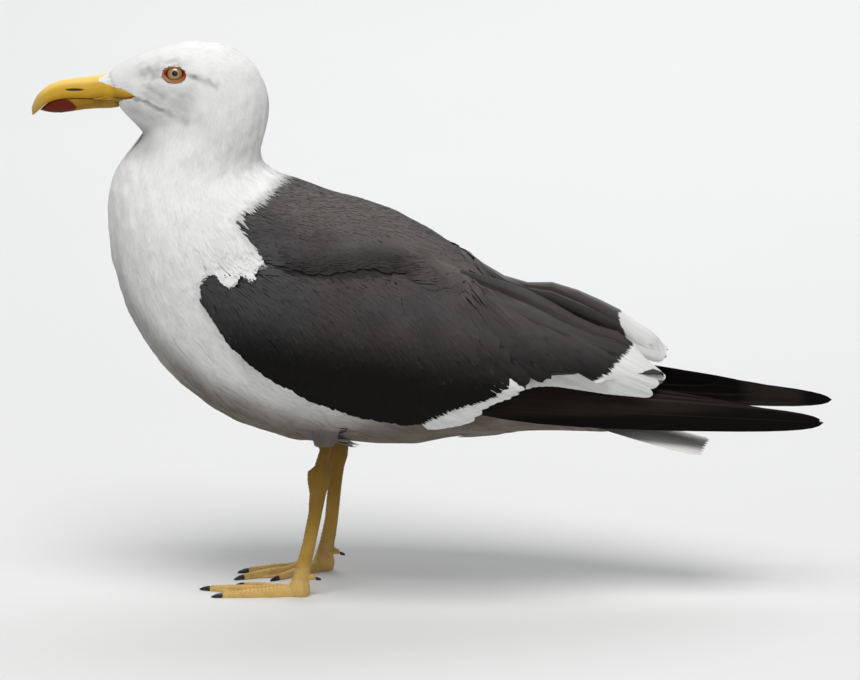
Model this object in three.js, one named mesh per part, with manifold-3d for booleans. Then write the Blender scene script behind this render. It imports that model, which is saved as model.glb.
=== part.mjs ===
// A standing lesser black-backed gull, life size, as a still model.
// Millimetres, +Z up. The bird faces -X, its left side is -Y, and its soles rest on z = 0.
// The origin lies on the floor under the middle of the bird's length.

import * as THREE from 'three';
import Module from 'manifold-3d';

const wasm = await Module();
wasm.setup();

// ---------------------------------------------------------------- driving dimensions

const GAP = 0.3; // clear space between neighbouring solids
const LEFT = -1;
const RIGHT = 1;

// The coat's outline from the base of the bill to the rump. Each station is a slanted slice:
// the point on the back, the point on the breast or belly, and half the width between them.
// A fuller slice is squarer than an ellipse, and a deeper keel moves the widest place down.
const BODY_STATIONS = [
  { back: [-199.0, 322.5], front: [-192.0, 303.0], half: 8.2, full: 0.0, keel: 0.0 },
  { back: [-188.0, 329.6], front: [-186.4, 295.0], half: 13.0, full: 0.0, keel: 0.05 },
  { back: [-174.0, 336.0], front: [-180.6, 289.0], half: 18.0, full: 0.0, keel: 0.1 },
  { back: [-159.0, 341.0], front: [-177.8, 285.8], half: 21.6, full: 0.02, keel: 0.1 },
  { back: [-141.0, 342.6], front: [-176.6, 284.3], half: 23.6, full: 0.04, keel: 0.06 },
  { back: [-122.5, 339.0], front: [-178.0, 281.6], half: 24.8, full: 0.04, keel: 0.0 },
  { back: [-107.6, 327.0], front: [-182.0, 277.2], half: 26.0, full: 0.02, keel: 0.0 },
  { back: [-100.2, 308.5], front: [-187.6, 270.2], half: 28.0, full: 0.0, keel: 0.0 },
  { back: [-101.5, 288.0], front: [-193.6, 261.0], half: 32.0, full: 0.0, keel: 0.05 },
  { back: [-105.5, 269.0], front: [-198.0, 248.5], half: 38.0, full: 0.0, keel: 0.1 },
  { back: [-97.0, 260.5], front: [-199.2, 232.0], half: 44.5, full: 0.02, keel: 0.1 },
  { back: [-80.0, 254.0], front: [-196.0, 205.0], half: 51.5, full: 0.04, keel: 0.05 },
  { back: [-58.0, 246.0], front: [-186.0, 171.5], half: 57.5, full: 0.06, keel: 0.0 },
  { back: [-30.0, 239.0], front: [-167.0, 141.5], half: 61.0, full: 0.08, keel: 0.0 },
  { back: [-4.0, 226.0], front: [-133.5, 112.5], half: 61.0, full: 0.08, keel: 0.0 },
  { back: [20.0, 209.0], front: [-92.0, 96.0], half: 58.0, full: 0.08, keel: 0.0 },
  { back: [40.0, 190.0], front: [-48.0, 89.0], half: 52.5, full: 0.05, keel: 0.0 },
  { back: [58.0, 168.0], front: [-8.0, 87.8], half: 44.5, full: 0.02, keel: 0.0 },
  { back: [75.0, 147.0], front: [28.0, 96.0], half: 35.0, full: 0.0, keel: 0.0 },
  { back: [90.0, 130.0], front: [62.0, 101.5], half: 26.0, full: 0.0, keel: 0.0 },
  { back: [118.0, 112.6], front: [114.0, 101.6], half: 20.0, full: 0.0, keel: 0.0 },
];
const HEAD_END = 6.6; // station where the head meets the neck
const NECK_END = 9.6; // station where the neck meets the trunk
const TRUNK_END = 17.6; // station where the trunk meets the rump
const LAST_STATION = BODY_STATIONS.length - 1;
const BODY_SIDES = 26;

// The bill: ridge or keel line, cutting edge and half width, from its base to its tip.
const BILL_UPPER_STATIONS = [
  { ridge: [-199.4, 322.3], edge: [-194.2, 308.1], half: 7.2 },
  { ridge: [-208.0, 321.5], edge: [-203.5, 308.1], half: 6.3 },
  { ridge: [-218.0, 320.3], edge: [-215.0, 308.2], half: 5.4 },
  { ridge: [-228.0, 318.6], edge: [-226.0, 307.8], half: 4.7 },
  { ridge: [-236.0, 315.4], edge: [-234.5, 305.8], half: 3.9 },
  { ridge: [-241.6, 310.8], edge: [-239.6, 302.4], half: 3.0 },
  { ridge: [-245.2, 305.6], edge: [-242.9, 299.0], half: 2.1 },
  { ridge: [-246.8, 300.8], edge: [-245.0, 296.9], half: 1.1 },
];
const BILL_LOWER_STATIONS = [
  { ridge: [-192.4, 301.4], edge: [-194.1, 307.7], half: 6.6 },
  { ridge: [-203.0, 301.2], edge: [-203.5, 307.7], half: 5.8 },
  { ridge: [-215.0, 300.2], edge: [-215.0, 307.8], half: 5.0 },
  { ridge: [-227.4, 298.0], edge: [-226.0, 307.4], half: 4.5 },
  { ridge: [-235.0, 298.1], edge: [-234.3, 305.3], half: 3.2 },
  { ridge: [-239.4, 298.9], edge: [-239.0, 302.0], half: 2.0 },
];
const BILL_UPPER_TIP = new THREE.Vector3(-246.6, 0, 295.9);
const BILL_LOWER_TIP = new THREE.Vector3(-242.0, 0, 299.4);

const EYE_RADIUS = 7.4;
const EYE_CENTRE = new THREE.Vector3(-156.6, 14.0, 325.1);

// The folded arm of the wing, from the bend to the tips of the tertials. Each upright slice
// runs over its outer face from the top edge by the crest and the side to the lower edge.
const ARM_STATIONS = [
  { x: -138, top: [57, 203], crest: [58.8, 200.5], side: [59.5, 197.5], low: [58, 193], thick: 3.0 },
  { x: -131, top: [57, 207], crest: [61.0, 200], side: [63.0, 192], low: [60.0, 183], thick: 5.0 },
  { x: -120, top: [57.5, 211], crest: [63.5, 201], side: [66.5, 186], low: [61.5, 166], thick: 6.5 },
  { x: -98, top: [58.5, 215], crest: [66.0, 202], side: [70.0, 178], low: [63.5, 147], thick: 8.0 },
  { x: -60, top: [57.5, 215], crest: [66.5, 200], side: [71.5, 168], low: [64.5, 128], thick: 8.0 },
  { x: -20, top: [51, 213], crest: [63.5, 198], side: [71.0, 163], low: [62.5, 118], thick: 8.0 },
  { x: 20, top: [20, 208], crest: [43.0, 204], side: [66.0, 160], low: [57.5, 116], thick: 7.0 },
  { x: 48, top: [5, 191], crest: [21.0, 195], side: [60.0, 156], low: [51.5, 131], thick: 6.5 },
  { x: 68, top: [2.5, 184], crest: [18.0, 190.5], side: [54.0, 153], low: [46.0, 137], thick: 6.0 },
  { x: 92, top: [2.0, 174], crest: [16.0, 183.5], side: [45.5, 149], low: [38.5, 139], thick: 5.0 },
  { x: 117, top: [2.0, 163], crest: [14.5, 172.5], side: [35.5, 143], low: [30.5, 134], thick: 4.0 },
  { x: 137, top: [2.5, 152], crest: [12.0, 160], side: [26.0, 140], low: [24.5, 132], thick: 3.0 },
  { x: 147, top: [5.0, 147], crest: [9.5, 150.5], side: [16.0, 144], low: [17.0, 138], thick: 2.0 },
];
// The left wing's rear end lies lower, and the right one's tertials rest on it.
const LEFT_REAR_STATIONS = [
  { x: 92, top: [2.0, 171], crest: [15.5, 180], side: [45.0, 148], low: [38.5, 139], thick: 5.0 },
  { x: 117, top: [3.0, 157], crest: [13.5, 165.5], side: [34.0, 141], low: [30.5, 134], thick: 4.0 },
  { x: 137, top: [4.5, 142], crest: [11.5, 148], side: [23.0, 137], low: [24.0, 131], thick: 3.0 },
  { x: 147, top: [6.5, 133], crest: [10.0, 137], side: [15.0, 133], low: [17.0, 129], thick: 2.0 },
];
const ARM_RINGS = 17;
const ARM_STEPS = 8; // steps over the outer face of a slice
const ARM_EDGE = 0.3; // thickness at the edges, as a share of the thickness between them
// Two slanting cuts part the arm: coverts from flight feathers, and tertials from secondaries.
const COVERT_CUT = { from: [8, 110], to: [52, 205] };
const TERTIAL_CUT = { from: [20, 152], to: [150, 137.5] };

// Folded primaries, longest and lowest first: root, tip and half of the blade's breadth.
const PRIMARIES = [
  { root: [32, 48.0, 124.5], tip: [242.5, 7.0, 107.0], half: 10.5 },
  { root: [33, 45.5, 131.0], tip: [227.0, 7.6, 110.0], half: 10.5 },
  { root: [35, 42.5, 138.0], tip: [201.0, 8.2, 114.5], half: 10.5 },
  { root: [37, 40.8, 144.0], tip: [174.0, 8.8, 120.0], half: 10.0 },
  { root: [40, 39.0, 149.0], tip: [154.0, 9.4, 126.0], half: 9.5 },
];
const PRIMARY_THICKNESS = 2.8;
const PRIMARY_SIDES = 6;
const PRIMARY_LEAN = 0.28; // the blades lean outwards at their lower edges
const RIGHT_TIP_RISE = 11.5; // the right wing's tip rests on the left one's
const RIGHT_TIP_REACH = 4.3;

// The folded tail: distance along X, height of its middle, half width and thickness.
const TAIL_STATIONS = [
  { x: 58, z: 121.5, half: 14, thick: 5.0 },
  { x: 80, z: 116.4, half: 18, thick: 4.2 },
  { x: 105, z: 109.7, half: 22, thick: 3.4 },
  { x: 130, z: 103.6, half: 26, thick: 2.8 },
  { x: 150, z: 98.8, half: 28.5, thick: 2.4 },
  { x: 165, z: 95.2, half: 30, thick: 2.2 },
];
const TAIL_CORNER_X = 171;
const TAIL_END_X = 175;
const TAIL_CAMBER = 3.0;

// Legs. Each is set by the place of its foot joint, and the right one stands a little further back.
const LEGS = {
  left: { side: LEFT, joint: [-78.5, -33], ankle: [-66.0, -37], toeIn: 10, spread: 20 },
  right: { side: RIGHT, joint: [-71.5, 35], ankle: [-60.5, 37], toeIn: 33, spread: 17 },
};
const JOINT_TOP = 9.5; // top of the foot joint above the floor
const ANKLE_HEIGHT = 77;
const TIBIA_TOP = 96.5;
const SHANK_SIDES = 10;
// Height share between foot joint and ankle, half depth (along X) and half width (along Y).
const TARSUS_PROFILE = [
  { share: 0.0, depth: 5.2, width: 4.6 },
  { share: 0.12, depth: 4.6, width: 3.7 },
  { share: 0.35, depth: 4.1, width: 3.1 },
  { share: 0.65, depth: 4.2, width: 3.1 },
  { share: 0.84, depth: 5.2, width: 3.9 },
  { share: 0.95, depth: 7.0, width: 4.9 },
  { share: 1.03, depth: 7.2, width: 5.1 },
  { share: 1.13, depth: 5.4, width: 4.3 },
];
const TIBIA_END = { depth: 4.9, width: 4.3 };
const THIGH_PROFILE = [
  { z: 95.8, depth: 7.0, width: 6.4 },
  { z: 99.0, depth: 9.5, width: 8.2 },
  { z: 105.0, depth: 12.5, width: 10.0 },
  { z: 114.0, depth: 13.0, width: 10.5 },
  { z: 122.0, depth: 7.0, width: 7.0 },
];
const TOES = {
  outer: { length: 48, turn: -1 },
  middle: { length: 57, turn: 0 },
  inner: { length: 41, turn: 1 },
};
const CLAW_LENGTH = 7.5;
const WEB_THICKNESS = 1.1;
const HALLUX_LENGTH = 6.5;
const HALLUX_HEIGHT = 12.5;

// ---------------------------------------------------------------- materials

const finish = (colour, roughness) =>
  new THREE.MeshStandardMaterial({ color: colour, roughness, metalness: 0 });

const whitePlumage = finish('#e9e8e6', 0.85);
const slatePlumage = finish('#4a4745', 0.8);
const blackPlumage = finish('#211e1c', 0.7);
const billHorn = finish('#dca91c', 0.4);
const eyeAmber = finish('#a8742a', 0.1);
const legSkin = finish('#c49a35', 0.6);
const clawHorn = finish('#1a1816', 0.4);

// ---------------------------------------------------------------- shape helpers

// A closed body through rings of points. Each end is a fan round the middle of its ring,
// or runs to a tip where one is given.
function loft(rings, { startTip = null, endTip = null } = {}) {
  const sides = rings[0].length;
  const positions = rings.flat().flatMap((point) => point.toArray());
  const indices = [];
  for (let ring = 0; ring + 1 < rings.length; ring += 1) {
    for (let side = 0; side < sides; side += 1) {
      const next = (side + 1) % sides;
      const a = ring * sides + side;
      const b = ring * sides + next;
      indices.push(a, b, b + sides, a, b + sides, a + sides);
    }
  }
  const close = (first, tip, outward) => {
    const middle = tip ?? rings[first / sides].reduce(
      (sum, point) => sum.add(point), new THREE.Vector3()).divideScalar(sides);
    const apex = positions.length / 3;
    positions.push(...middle.toArray());
    for (let side = 0; side < sides; side += 1) {
      const a = first + side;
      const b = first + ((side + 1) % sides);
      indices.push(...(outward ? [a, b, apex] : [b, a, apex]));
    }
  };
  close(0, startTip, false);
  close((rings.length - 1) * sides, endTip, true);
  const geometry = new THREE.BufferGeometry();
  geometry.setAttribute('position', new THREE.Float32BufferAttribute(positions, 3));
  geometry.setIndex(indices);
  return facingOut(geometry);
}

// Turns a closed body's triangles over if its volume comes out negative.
function facingOut(geometry) {
  const points = geometry.getAttribute('position');
  const index = geometry.getIndex().array;
  const corner = [new THREE.Vector3(), new THREE.Vector3(), new THREE.Vector3()];
  let volume = 0;
  for (let at = 0; at < index.length; at += 3) {
    corner.forEach((vector, i) => vector.fromBufferAttribute(points, index[at + i]));
    volume += corner[0].dot(corner[1].clone().cross(corner[2]));
  }
  if (volume < 0) {
    for (let at = 0; at < index.length; at += 3) {
      [index[at], index[at + 1]] = [index[at + 1], index[at]];
    }
  }
  return geometry;
}

// Vertices at the same place become one, and only position is kept.
function welded(geometry) {
  const points = geometry.getAttribute('position');
  const index = geometry.getIndex()?.array ?? Array.from({ length: points.count }, (_, i) => i);
  const known = new Map();
  const positions = [];
  const vertex = new THREE.Vector3();
  const renumbered = Array.from(index, (i) => {
    vertex.fromBufferAttribute(points, i);
    const key = vertex.toArray().map((value) => Math.round(value * 1e4)).join();
    if (!known.has(key)) {
      known.set(key, positions.length / 3);
      positions.push(...vertex.toArray());
    }
    return known.get(key);
  });
  return { positions, indices: renumbered };
}

function solid(geometry) {
  const { positions, indices } = welded(geometry);
  return new wasm.Manifold(new wasm.Mesh({
    numProp: 3,
    vertProperties: new Float32Array(positions),
    triVerts: new Uint32Array(indices),
  }));
}

function geometryOf(body) {
  const mesh = body.getMesh();
  const geometry = new THREE.BufferGeometry();
  geometry.setAttribute('position', new THREE.BufferAttribute(mesh.vertProperties, 3));
  geometry.setIndex(new THREE.BufferAttribute(mesh.triVerts, 1));
  return geometry;
}

const joined = (bodies) => bodies.reduce((whole, body) => whole.add(body));
const without = (body, cutters) => cutters.reduce((rest, cutter) => rest.subtract(cutter), body);

// A smooth curve through named values, read by station number.
function smoothly(values) {
  const curve = new THREE.CatmullRomCurve3(values.map((value) => new THREE.Vector3(...value)));
  return (station) => curve.getPoint(THREE.MathUtils.clamp(station / (values.length - 1), 0, 1));
}

// ---------------------------------------------------------------- head, neck, trunk and rump

const backLine = smoothly(BODY_STATIONS.map(({ back, full }) => [back[0], full, back[1]]));
const frontLine = smoothly(BODY_STATIONS.map(({ front, keel }) => [front[0], keel, front[1]]));
const widthLine = smoothly(BODY_STATIONS.map(({ half }) => [half, 0, 0]));

function bodyRing(station, shift = 0) {
  const back = backLine(station);
  const front = frontLine(station);
  const full = back.y;
  const keel = front.y;
  back.y = 0;
  front.y = 0;
  const half = widthLine(station).x;
  const middle = back.clone().add(front).multiplyScalar(0.5);
  const reach = back.clone().sub(front).multiplyScalar(0.5);
  const along = new THREE.Vector3(reach.z, 0, -reach.x).normalize().multiplyScalar(shift);
  return Array.from({ length: BODY_SIDES }, (_, side) => {
    const angle = (side / BODY_SIDES) * 2 * Math.PI;
    const rise = Math.cos(angle);
    const spread = Math.sin(angle) * (1 + full * Math.sin(2 * angle) ** 2) * (1 - keel * rise);
    const lift = rise * (1 + 0.5 * full * Math.sin(2 * angle) ** 2);
    return middle.clone().addScaledVector(reach, lift).add(along)
      .add(new THREE.Vector3(0, half * spread, 0));
  });
}

// The stretch of body between two stations, with half a gap left at each cut end.
function bodyStretch(start, end, ringCount) {
  const rings = Array.from({ length: ringCount }, (_, i) => {
    const shift = i === 0 ? GAP / 2 : i === ringCount - 1 ? -GAP / 2 : 0;
    return bodyRing(start + ((end - start) * i) / (ringCount - 1), shift);
  });
  return solid(loft(rings));
}

// ---------------------------------------------------------------- bill and eyes

// Each slice of the bill is an arch: flat at the cutting edge, round at the ridge or keel.
function billHalf(stations, tip, ringCount) {
  const steps = 8;
  const ridgeLine = smoothly(stations.map(({ ridge, half }) => [ridge[0], half, ridge[1]]));
  const edgeLine = smoothly(stations.map(({ edge }) => [edge[0], 0, edge[1]]));
  const rings = Array.from({ length: ringCount }, (_, i) => {
    const station = ((stations.length - 1) * i) / (ringCount - 1);
    const ridge = ridgeLine(station);
    const half = ridge.y;
    ridge.y = 0;
    const edge = edgeLine(station);
    const reach = ridge.clone().sub(edge);
    return Array.from({ length: steps + 1 }, (_, step) => {
      const angle = (step / steps) * Math.PI;
      return edge.clone().addScaledVector(reach, Math.sin(angle) ** 0.8)
        .add(new THREE.Vector3(0, half * Math.cos(angle), 0));
    });
  });
  return solid(loft(rings, { endTip: tip }));
}

function eyeball(side, grow = 0) {
  const ball = new THREE.SphereGeometry(EYE_RADIUS + grow, 12, 8);
  ball.translate(EYE_CENTRE.x, side * EYE_CENTRE.y, EYE_CENTRE.z);
  return solid(ball);
}

// ---------------------------------------------------------------- wings

const armThick = smoothly(ARM_STATIONS.map(({ thick }) => [thick, 0, 0]));
const armEdges = new Map([LEFT, RIGHT].map((wing) => {
  const shared = ARM_STATIONS.slice(0, -LEFT_REAR_STATIONS.length);
  const stations = wing === LEFT ? [...shared, ...LEFT_REAR_STATIONS] : ARM_STATIONS;
  const edge = (name) => smoothly(stations.map((station) => [station.x, ...station[name]]));
  return [wing, ['top', 'crest', 'side', 'low'].map(edge)];
}));

function armRing(side, station, grow, shift) {
  const outer = new THREE.CatmullRomCurve3(armEdges.get(side).map((edge) => edge(station)));
  const thick = armThick(station).x;
  const faces = [[], []];
  for (let step = 0; step <= ARM_STEPS; step += 1) {
    const share = step / ARM_STEPS;
    const point = outer.getPoint(share);
    const tangent = outer.getTangent(share);
    const outward = new THREE.Vector3(0, -tangent.z, tangent.y).normalize();
    const edge = Math.min(1, ARM_EDGE + 4 * Math.min(share, 1 - share));
    const past = step === 0 ? -grow : step === ARM_STEPS ? grow : 0;
    point.addScaledVector(tangent, past);
    point.x += shift;
    faces[0].push(point.clone().addScaledVector(outward, grow));
    faces[1].unshift(point.clone().addScaledVector(outward, -thick * edge - grow));
  }
  return faces.flat().map((point) => new THREE.Vector3(point.x, side * point.y, point.z));
}

function arm(side, grow = 0) {
  const last = ARM_STATIONS.length - 1;
  const rings = Array.from({ length: ARM_RINGS }, (_, i) => {
    const shift = i === 0 ? -grow : i === ARM_RINGS - 1 ? grow : 0;
    return armRing(side, (last * i) / (ARM_RINGS - 1), grow, shift);
  });
  return solid(loft(rings));
}

// A block that fills the space on one side of a slanting cut, half a gap away from it.
function beside({ from, to }, direction) {
  const size = 600;
  const block = new THREE.BoxGeometry(size, size, size);
  block.translate(direction * (size / 2 + GAP / 2), 0, 0);
  block.rotateY(Math.atan2(to[0] - from[0], to[1] - from[1]));
  block.translate((from[0] + to[0]) / 2, 0, (from[1] + to[1]) / 2);
  return solid(block);
}

// One folded primary: a thin blade, widest in its first half and rounded off at its tip.
function primaryBlade(side, { root, tip, half }, grow) {
  const start = new THREE.Vector3(root[0], side * root[1], root[2]);
  const end = new THREE.Vector3(tip[0], side * tip[1], tip[2]);
  if (side === RIGHT) {
    end.z += RIGHT_TIP_RISE;
    end.x += RIGHT_TIP_REACH;
  }
  const run = end.clone().sub(start);
  const across = new THREE.Vector3(0, -side * PRIMARY_LEAN, 1).normalize();
  const through = run.clone().cross(across).normalize();
  const shares = [0, 0.3, 0.6, 0.82, 0.94];
  const rings = shares.map((share, i) => {
    const taper = Math.sqrt(1 - Math.max(0, (share - 0.45) / 0.55) ** 2.2) * (1 - 0.25 * share);
    const breadth = half * taper + grow;
    const thickness = (PRIMARY_THICKNESS / 2) * (1 - 0.45 * share) + grow;
    const centre = start.clone().addScaledVector(run, share);
    centre.addScaledVector(run.clone().normalize(), i === 0 ? -grow : 0);
    return Array.from({ length: PRIMARY_SIDES }, (_, corner) => {
      const angle = (corner / PRIMARY_SIDES) * 2 * Math.PI;
      return centre.clone().addScaledVector(across, breadth * Math.cos(angle))
        .addScaledVector(through, thickness * Math.sin(angle));
    });
  });
  const point = end.clone().addScaledVector(run.clone().normalize(), grow);
  return solid(loft(rings, { endTip: point }));
}

const primaries = (side, grow = 0) =>
  joined(PRIMARIES.map((primary) => primaryBlade(side, primary, grow)));

// ---------------------------------------------------------------- tail

function tail(grow = 0) {
  const steps = 8;
  const line = smoothly(TAIL_STATIONS.map(({ x, z }) => [x, 0, z]));
  const breadth = smoothly(TAIL_STATIONS.map(({ half, thick }) => [half, thick, 0]));
  const slice = (place, half, thick, bow) => {
    const faces = [[], []];
    for (let step = 0; step <= steps; step += 1) {
      const across = (step / steps) * 2 - 1;
      const sag = TAIL_CAMBER * across ** 2 * Math.min(1, half / 26);
      const edge = 1 - 0.55 * across ** 4;
      const x = place.x + bow * (1 - across ** 2);
      const y = (half + grow) * across;
      faces[0].push(new THREE.Vector3(x, y, place.z - sag + (thick * edge) / 2 + grow));
      faces[1].unshift(new THREE.Vector3(x, y, place.z - sag - (thick * edge) / 2 - grow));
    }
    return faces.flat();
  };
  const count = 6;
  const rings = Array.from({ length: count }, (_, i) => {
    const station = ((TAIL_STATIONS.length - 1) * i) / (count - 1);
    const place = line(station);
    place.x -= i === 0 ? grow : 0;
    return slice(place, breadth(station).x, breadth(station).y, 0);
  });
  const last = TAIL_STATIONS[TAIL_STATIONS.length - 1];
  const slope = (last.z - TAIL_STATIONS[0].z) / (last.x - TAIL_STATIONS[0].x);
  const corner = new THREE.Vector3(
    TAIL_CORNER_X + grow, 0, last.z + slope * (TAIL_CORNER_X - last.x));
  rings.push(slice(corner, last.half - 1.5, 1.6, TAIL_END_X - TAIL_CORNER_X));
  return solid(loft(rings));
}

// ---------------------------------------------------------------- legs

function ovalRing(x, y, z, depth, width) {
  return Array.from({ length: SHANK_SIDES }, (_, i) => {
    const angle = (i / SHANK_SIDES) * 2 * Math.PI;
    return new THREE.Vector3(x + depth * Math.cos(angle), y + width * Math.sin(angle), z);
  });
}

// Tarsus, ankle and the bare end of the tibia, as one tapered column of oval slices.
function shank({ joint, ankle }, grow = 0) {
  const foot = JOINT_TOP + GAP - grow;
  const rise = ANKLE_HEIGHT - foot;
  const rings = TARSUS_PROFILE.map(({ share, depth, width }) => ovalRing(
    joint[0] + (ankle[0] - joint[0]) * Math.sin(share * Math.PI * 0.45),
    joint[1] + (ankle[1] - joint[1]) * share,
    foot + rise * share,
    depth + grow,
    width + grow,
  ));
  rings.push(ovalRing(
    ankle[0] + 3.0, ankle[1], TIBIA_TOP + grow, TIBIA_END.depth + grow, TIBIA_END.width + grow));
  return solid(loft(rings));
}

function thigh({ ankle }, grow = 0) {
  const last = THIGH_PROFILE.length - 1;
  const rings = THIGH_PROFILE.map(({ z, depth, width }, i) => {
    const past = i === 0 ? -grow : i === last ? grow : 0;
    return ovalRing(
      ankle[0] + 3.0 + 0.12 * (z - TIBIA_TOP), ankle[1], z + past, depth + grow, width + grow);
  });
  return solid(loft(rings));
}

// The frame of one toe: where its axis points on the floor.
function toeDirection({ side, toeIn, spread }, turn) {
  const angle = THREE.MathUtils.degToRad(toeIn + turn * spread);
  return new THREE.Vector3(-Math.cos(angle), -side * Math.sin(angle), 0);
}

// A slice that stands on the floor: flat below, arched above.
function archRing(place, forward, half, height) {
  const across = new THREE.Vector3(-forward.y, forward.x, 0);
  const steps = 5;
  return Array.from({ length: steps + 1 }, (_, step) => {
    const angle = (step / steps) * Math.PI;
    return place.clone().addScaledVector(across, half * Math.cos(angle))
      .add(new THREE.Vector3(0, 0, height * Math.sin(angle) ** 0.7));
  });
}

function toe(leg, { length, turn }) {
  const forward = toeDirection(leg, turn);
  const base = new THREE.Vector3(...leg.joint, 0);
  const profile = [
    [0.0, 3.6, 7.5], [0.2, 3.0, 6.0], [0.36, 3.4, 5.8], [0.5, 2.7, 4.8],
    [0.66, 3.0, 4.9], [0.86, 2.3, 4.0], [1.0, 1.9, 3.4],
  ];
  const rings = profile.map(([share, half, height]) =>
    archRing(base.clone().addScaledVector(forward, share * length), forward, half, height));
  return solid(loft(rings));
}

function claw(leg, { length, turn }) {
  const forward = toeDirection(leg, turn);
  const base = new THREE.Vector3(...leg.joint, 0);
  const profile = [[0.0, 1.7, 3.1], [0.3, 1.5, 2.8], [0.65, 1.0, 1.9]];
  const rings = profile.map(([share, half, height]) => archRing(
    base.clone().addScaledVector(forward, length + GAP + share * CLAW_LENGTH), forward, half, height));
  const tip = base.clone().addScaledVector(forward, length + GAP + CLAW_LENGTH);
  tip.z = 0.5;
  return solid(loft(rings, { endTip: tip }));
}

// The web between the toes, with its free edges curved in between the toe tips.
function web(leg) {
  const tips = [TOES.outer, TOES.middle, TOES.inner].map(({ length, turn }) =>
    new THREE.Vector3(...leg.joint, 0).addScaledVector(toeDirection(leg, turn), 0.95 * length));
  const hollow = (from, to) => from.clone().add(to).multiplyScalar(0.5)
    .lerp(new THREE.Vector3(...leg.joint, 0), 0.2);
  const outline = new THREE.Shape();
  outline.moveTo(...leg.joint);
  outline.lineTo(tips[0].x, tips[0].y);
  for (const [from, to] of [[tips[0], tips[1]], [tips[1], tips[2]]]) {
    const bend = hollow(from, to);
    outline.quadraticCurveTo(bend.x, bend.y, to.x, to.y);
  }
  const sheet = new THREE.ExtrudeGeometry(
    outline, { depth: WEB_THICKNESS, bevelEnabled: false, curveSegments: 4 });
  return solid(facingOut(indexed(sheet)));
}

function indexed(geometry) {
  const { positions, indices } = welded(geometry);
  const result = new THREE.BufferGeometry();
  result.setAttribute('position', new THREE.Float32BufferAttribute(positions, 3));
  result.setIndex(indices);
  return result;
}

// The block under the tarsus, where the toes meet.
function footJoint({ joint }) {
  const block = [[0, 5.6, 5.0], [4, 6.4, 5.6], [7.5, 6.2, 5.4], [JOINT_TOP, 5.3, 4.7]];
  return solid(loft(block.map(([z, depth, width]) =>
    ovalRing(joint[0], joint[1], z, depth, width))));
}

const foot = (leg) => joined([footJoint(leg), ...Object.values(TOES).map((t) => toe(leg, t)), web(leg)]);

// The small raised hind toe: a stub on the back of the tarsus, and its claw beyond.
function hindPiece(leg, start, end, halfStart, halfEnd, drop) {
  const place = (along) => new THREE.Vector3(
    leg.joint[0] + 3.0 + along, leg.joint[1] - leg.side * 0.22 * along, HALLUX_HEIGHT - drop * along);
  const ring = (along, half) => Array.from({ length: 8 }, (_, i) => {
    const angle = (i / 8) * 2 * Math.PI;
    return place(along).add(new THREE.Vector3(0, half * Math.cos(angle), half * Math.sin(angle)));
  });
  return solid(loft(
    [ring(start, halfStart), ring((start + end) / 2, (halfStart + halfEnd) / 2 + 0.2), ring(end, halfEnd)]));
}

// ---------------------------------------------------------------- the bird

const bird = new THREE.Group();

function place(name, body, material) {
  const mesh = new THREE.Mesh(geometryOf(body), material);
  mesh.name = name;
  bird.add(mesh);
}

const sideNames = Object.entries(LEGS).map(([name, leg]) => ({ name, side: leg.side, leg }));

const eyeSockets = sideNames.map(({ side }) => eyeball(side, GAP));
place('head', without(bodyStretch(0, HEAD_END, 13), eyeSockets), whitePlumage);
place('neck', bodyStretch(HEAD_END, NECK_END, 7), whitePlumage);

const wingBeds = sideNames.flatMap(({ side }) => [arm(side, GAP), primaries(side, GAP)]);
const thighSockets = sideNames.map(({ leg }) => thigh(leg, GAP));
place('trunk', without(bodyStretch(NECK_END, TRUNK_END, 14), [...wingBeds, ...thighSockets]), whitePlumage);
place('rump', without(bodyStretch(TRUNK_END, LAST_STATION, 6), [...wingBeds, tail(GAP)]), whitePlumage);
place('tail', tail(), whitePlumage);

place('bill_upper', billHalf(BILL_UPPER_STATIONS, BILL_UPPER_TIP, 12), billHorn);
place('bill_lower', billHalf(BILL_LOWER_STATIONS, BILL_LOWER_TIP, 9), billHorn);

for (const { name, side, leg } of sideNames) {
  place(`eye_${name}`, eyeball(side), eyeAmber);

  const flightFeathers = arm(side).intersect(beside(COVERT_CUT, 1));
  place(`wing_${name}_coverts`, arm(side).intersect(beside(COVERT_CUT, -1)), slatePlumage);
  place(`wing_${name}_tertials`, flightFeathers.intersect(beside(TERTIAL_CUT, -1)), slatePlumage);
  place(`wing_${name}_secondaries`, flightFeathers.intersect(beside(TERTIAL_CUT, 1)), slatePlumage);
  place(`wing_${name}_primaries`, primaries(side).subtract(arm(side, GAP)), blackPlumage);

  place(`thigh_${name}`, thigh(leg).subtract(shank(leg, GAP)), whitePlumage);
  place(`shank_${name}`, shank(leg), legSkin);
  place(`foot_${name}`, foot(leg), legSkin);
  const hindToe = hindPiece(leg, 0, HALLUX_LENGTH, 2.2, 1.5, 0.15);
  place(`hind_toe_${name}`, hindToe.subtract(shank(leg, GAP)), legSkin);
  const hindClaw = hindPiece(leg, HALLUX_LENGTH + GAP, HALLUX_LENGTH + 3.6, 1.1, 0.5, 0.25);
  place(`claw_${name}_hind`, hindClaw, clawHorn);
  for (const [toeName, toeSizes] of Object.entries(TOES)) {
    place(`claw_${name}_${toeName}`, claw(leg, toeSizes), clawHorn);
  }
}

export default bird;
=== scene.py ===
"""A standing lesser black-backed gull, life size: one skin, a coat of solid feathers, eyes, bill and legs.

Metres, +Z up. The bird faces -X and its left side is -Y. Tables of sizes are in millimetres.
"""

import math

import bpy
import numpy as np
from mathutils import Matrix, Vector
from mathutils.bvhtree import BVHTree


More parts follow.
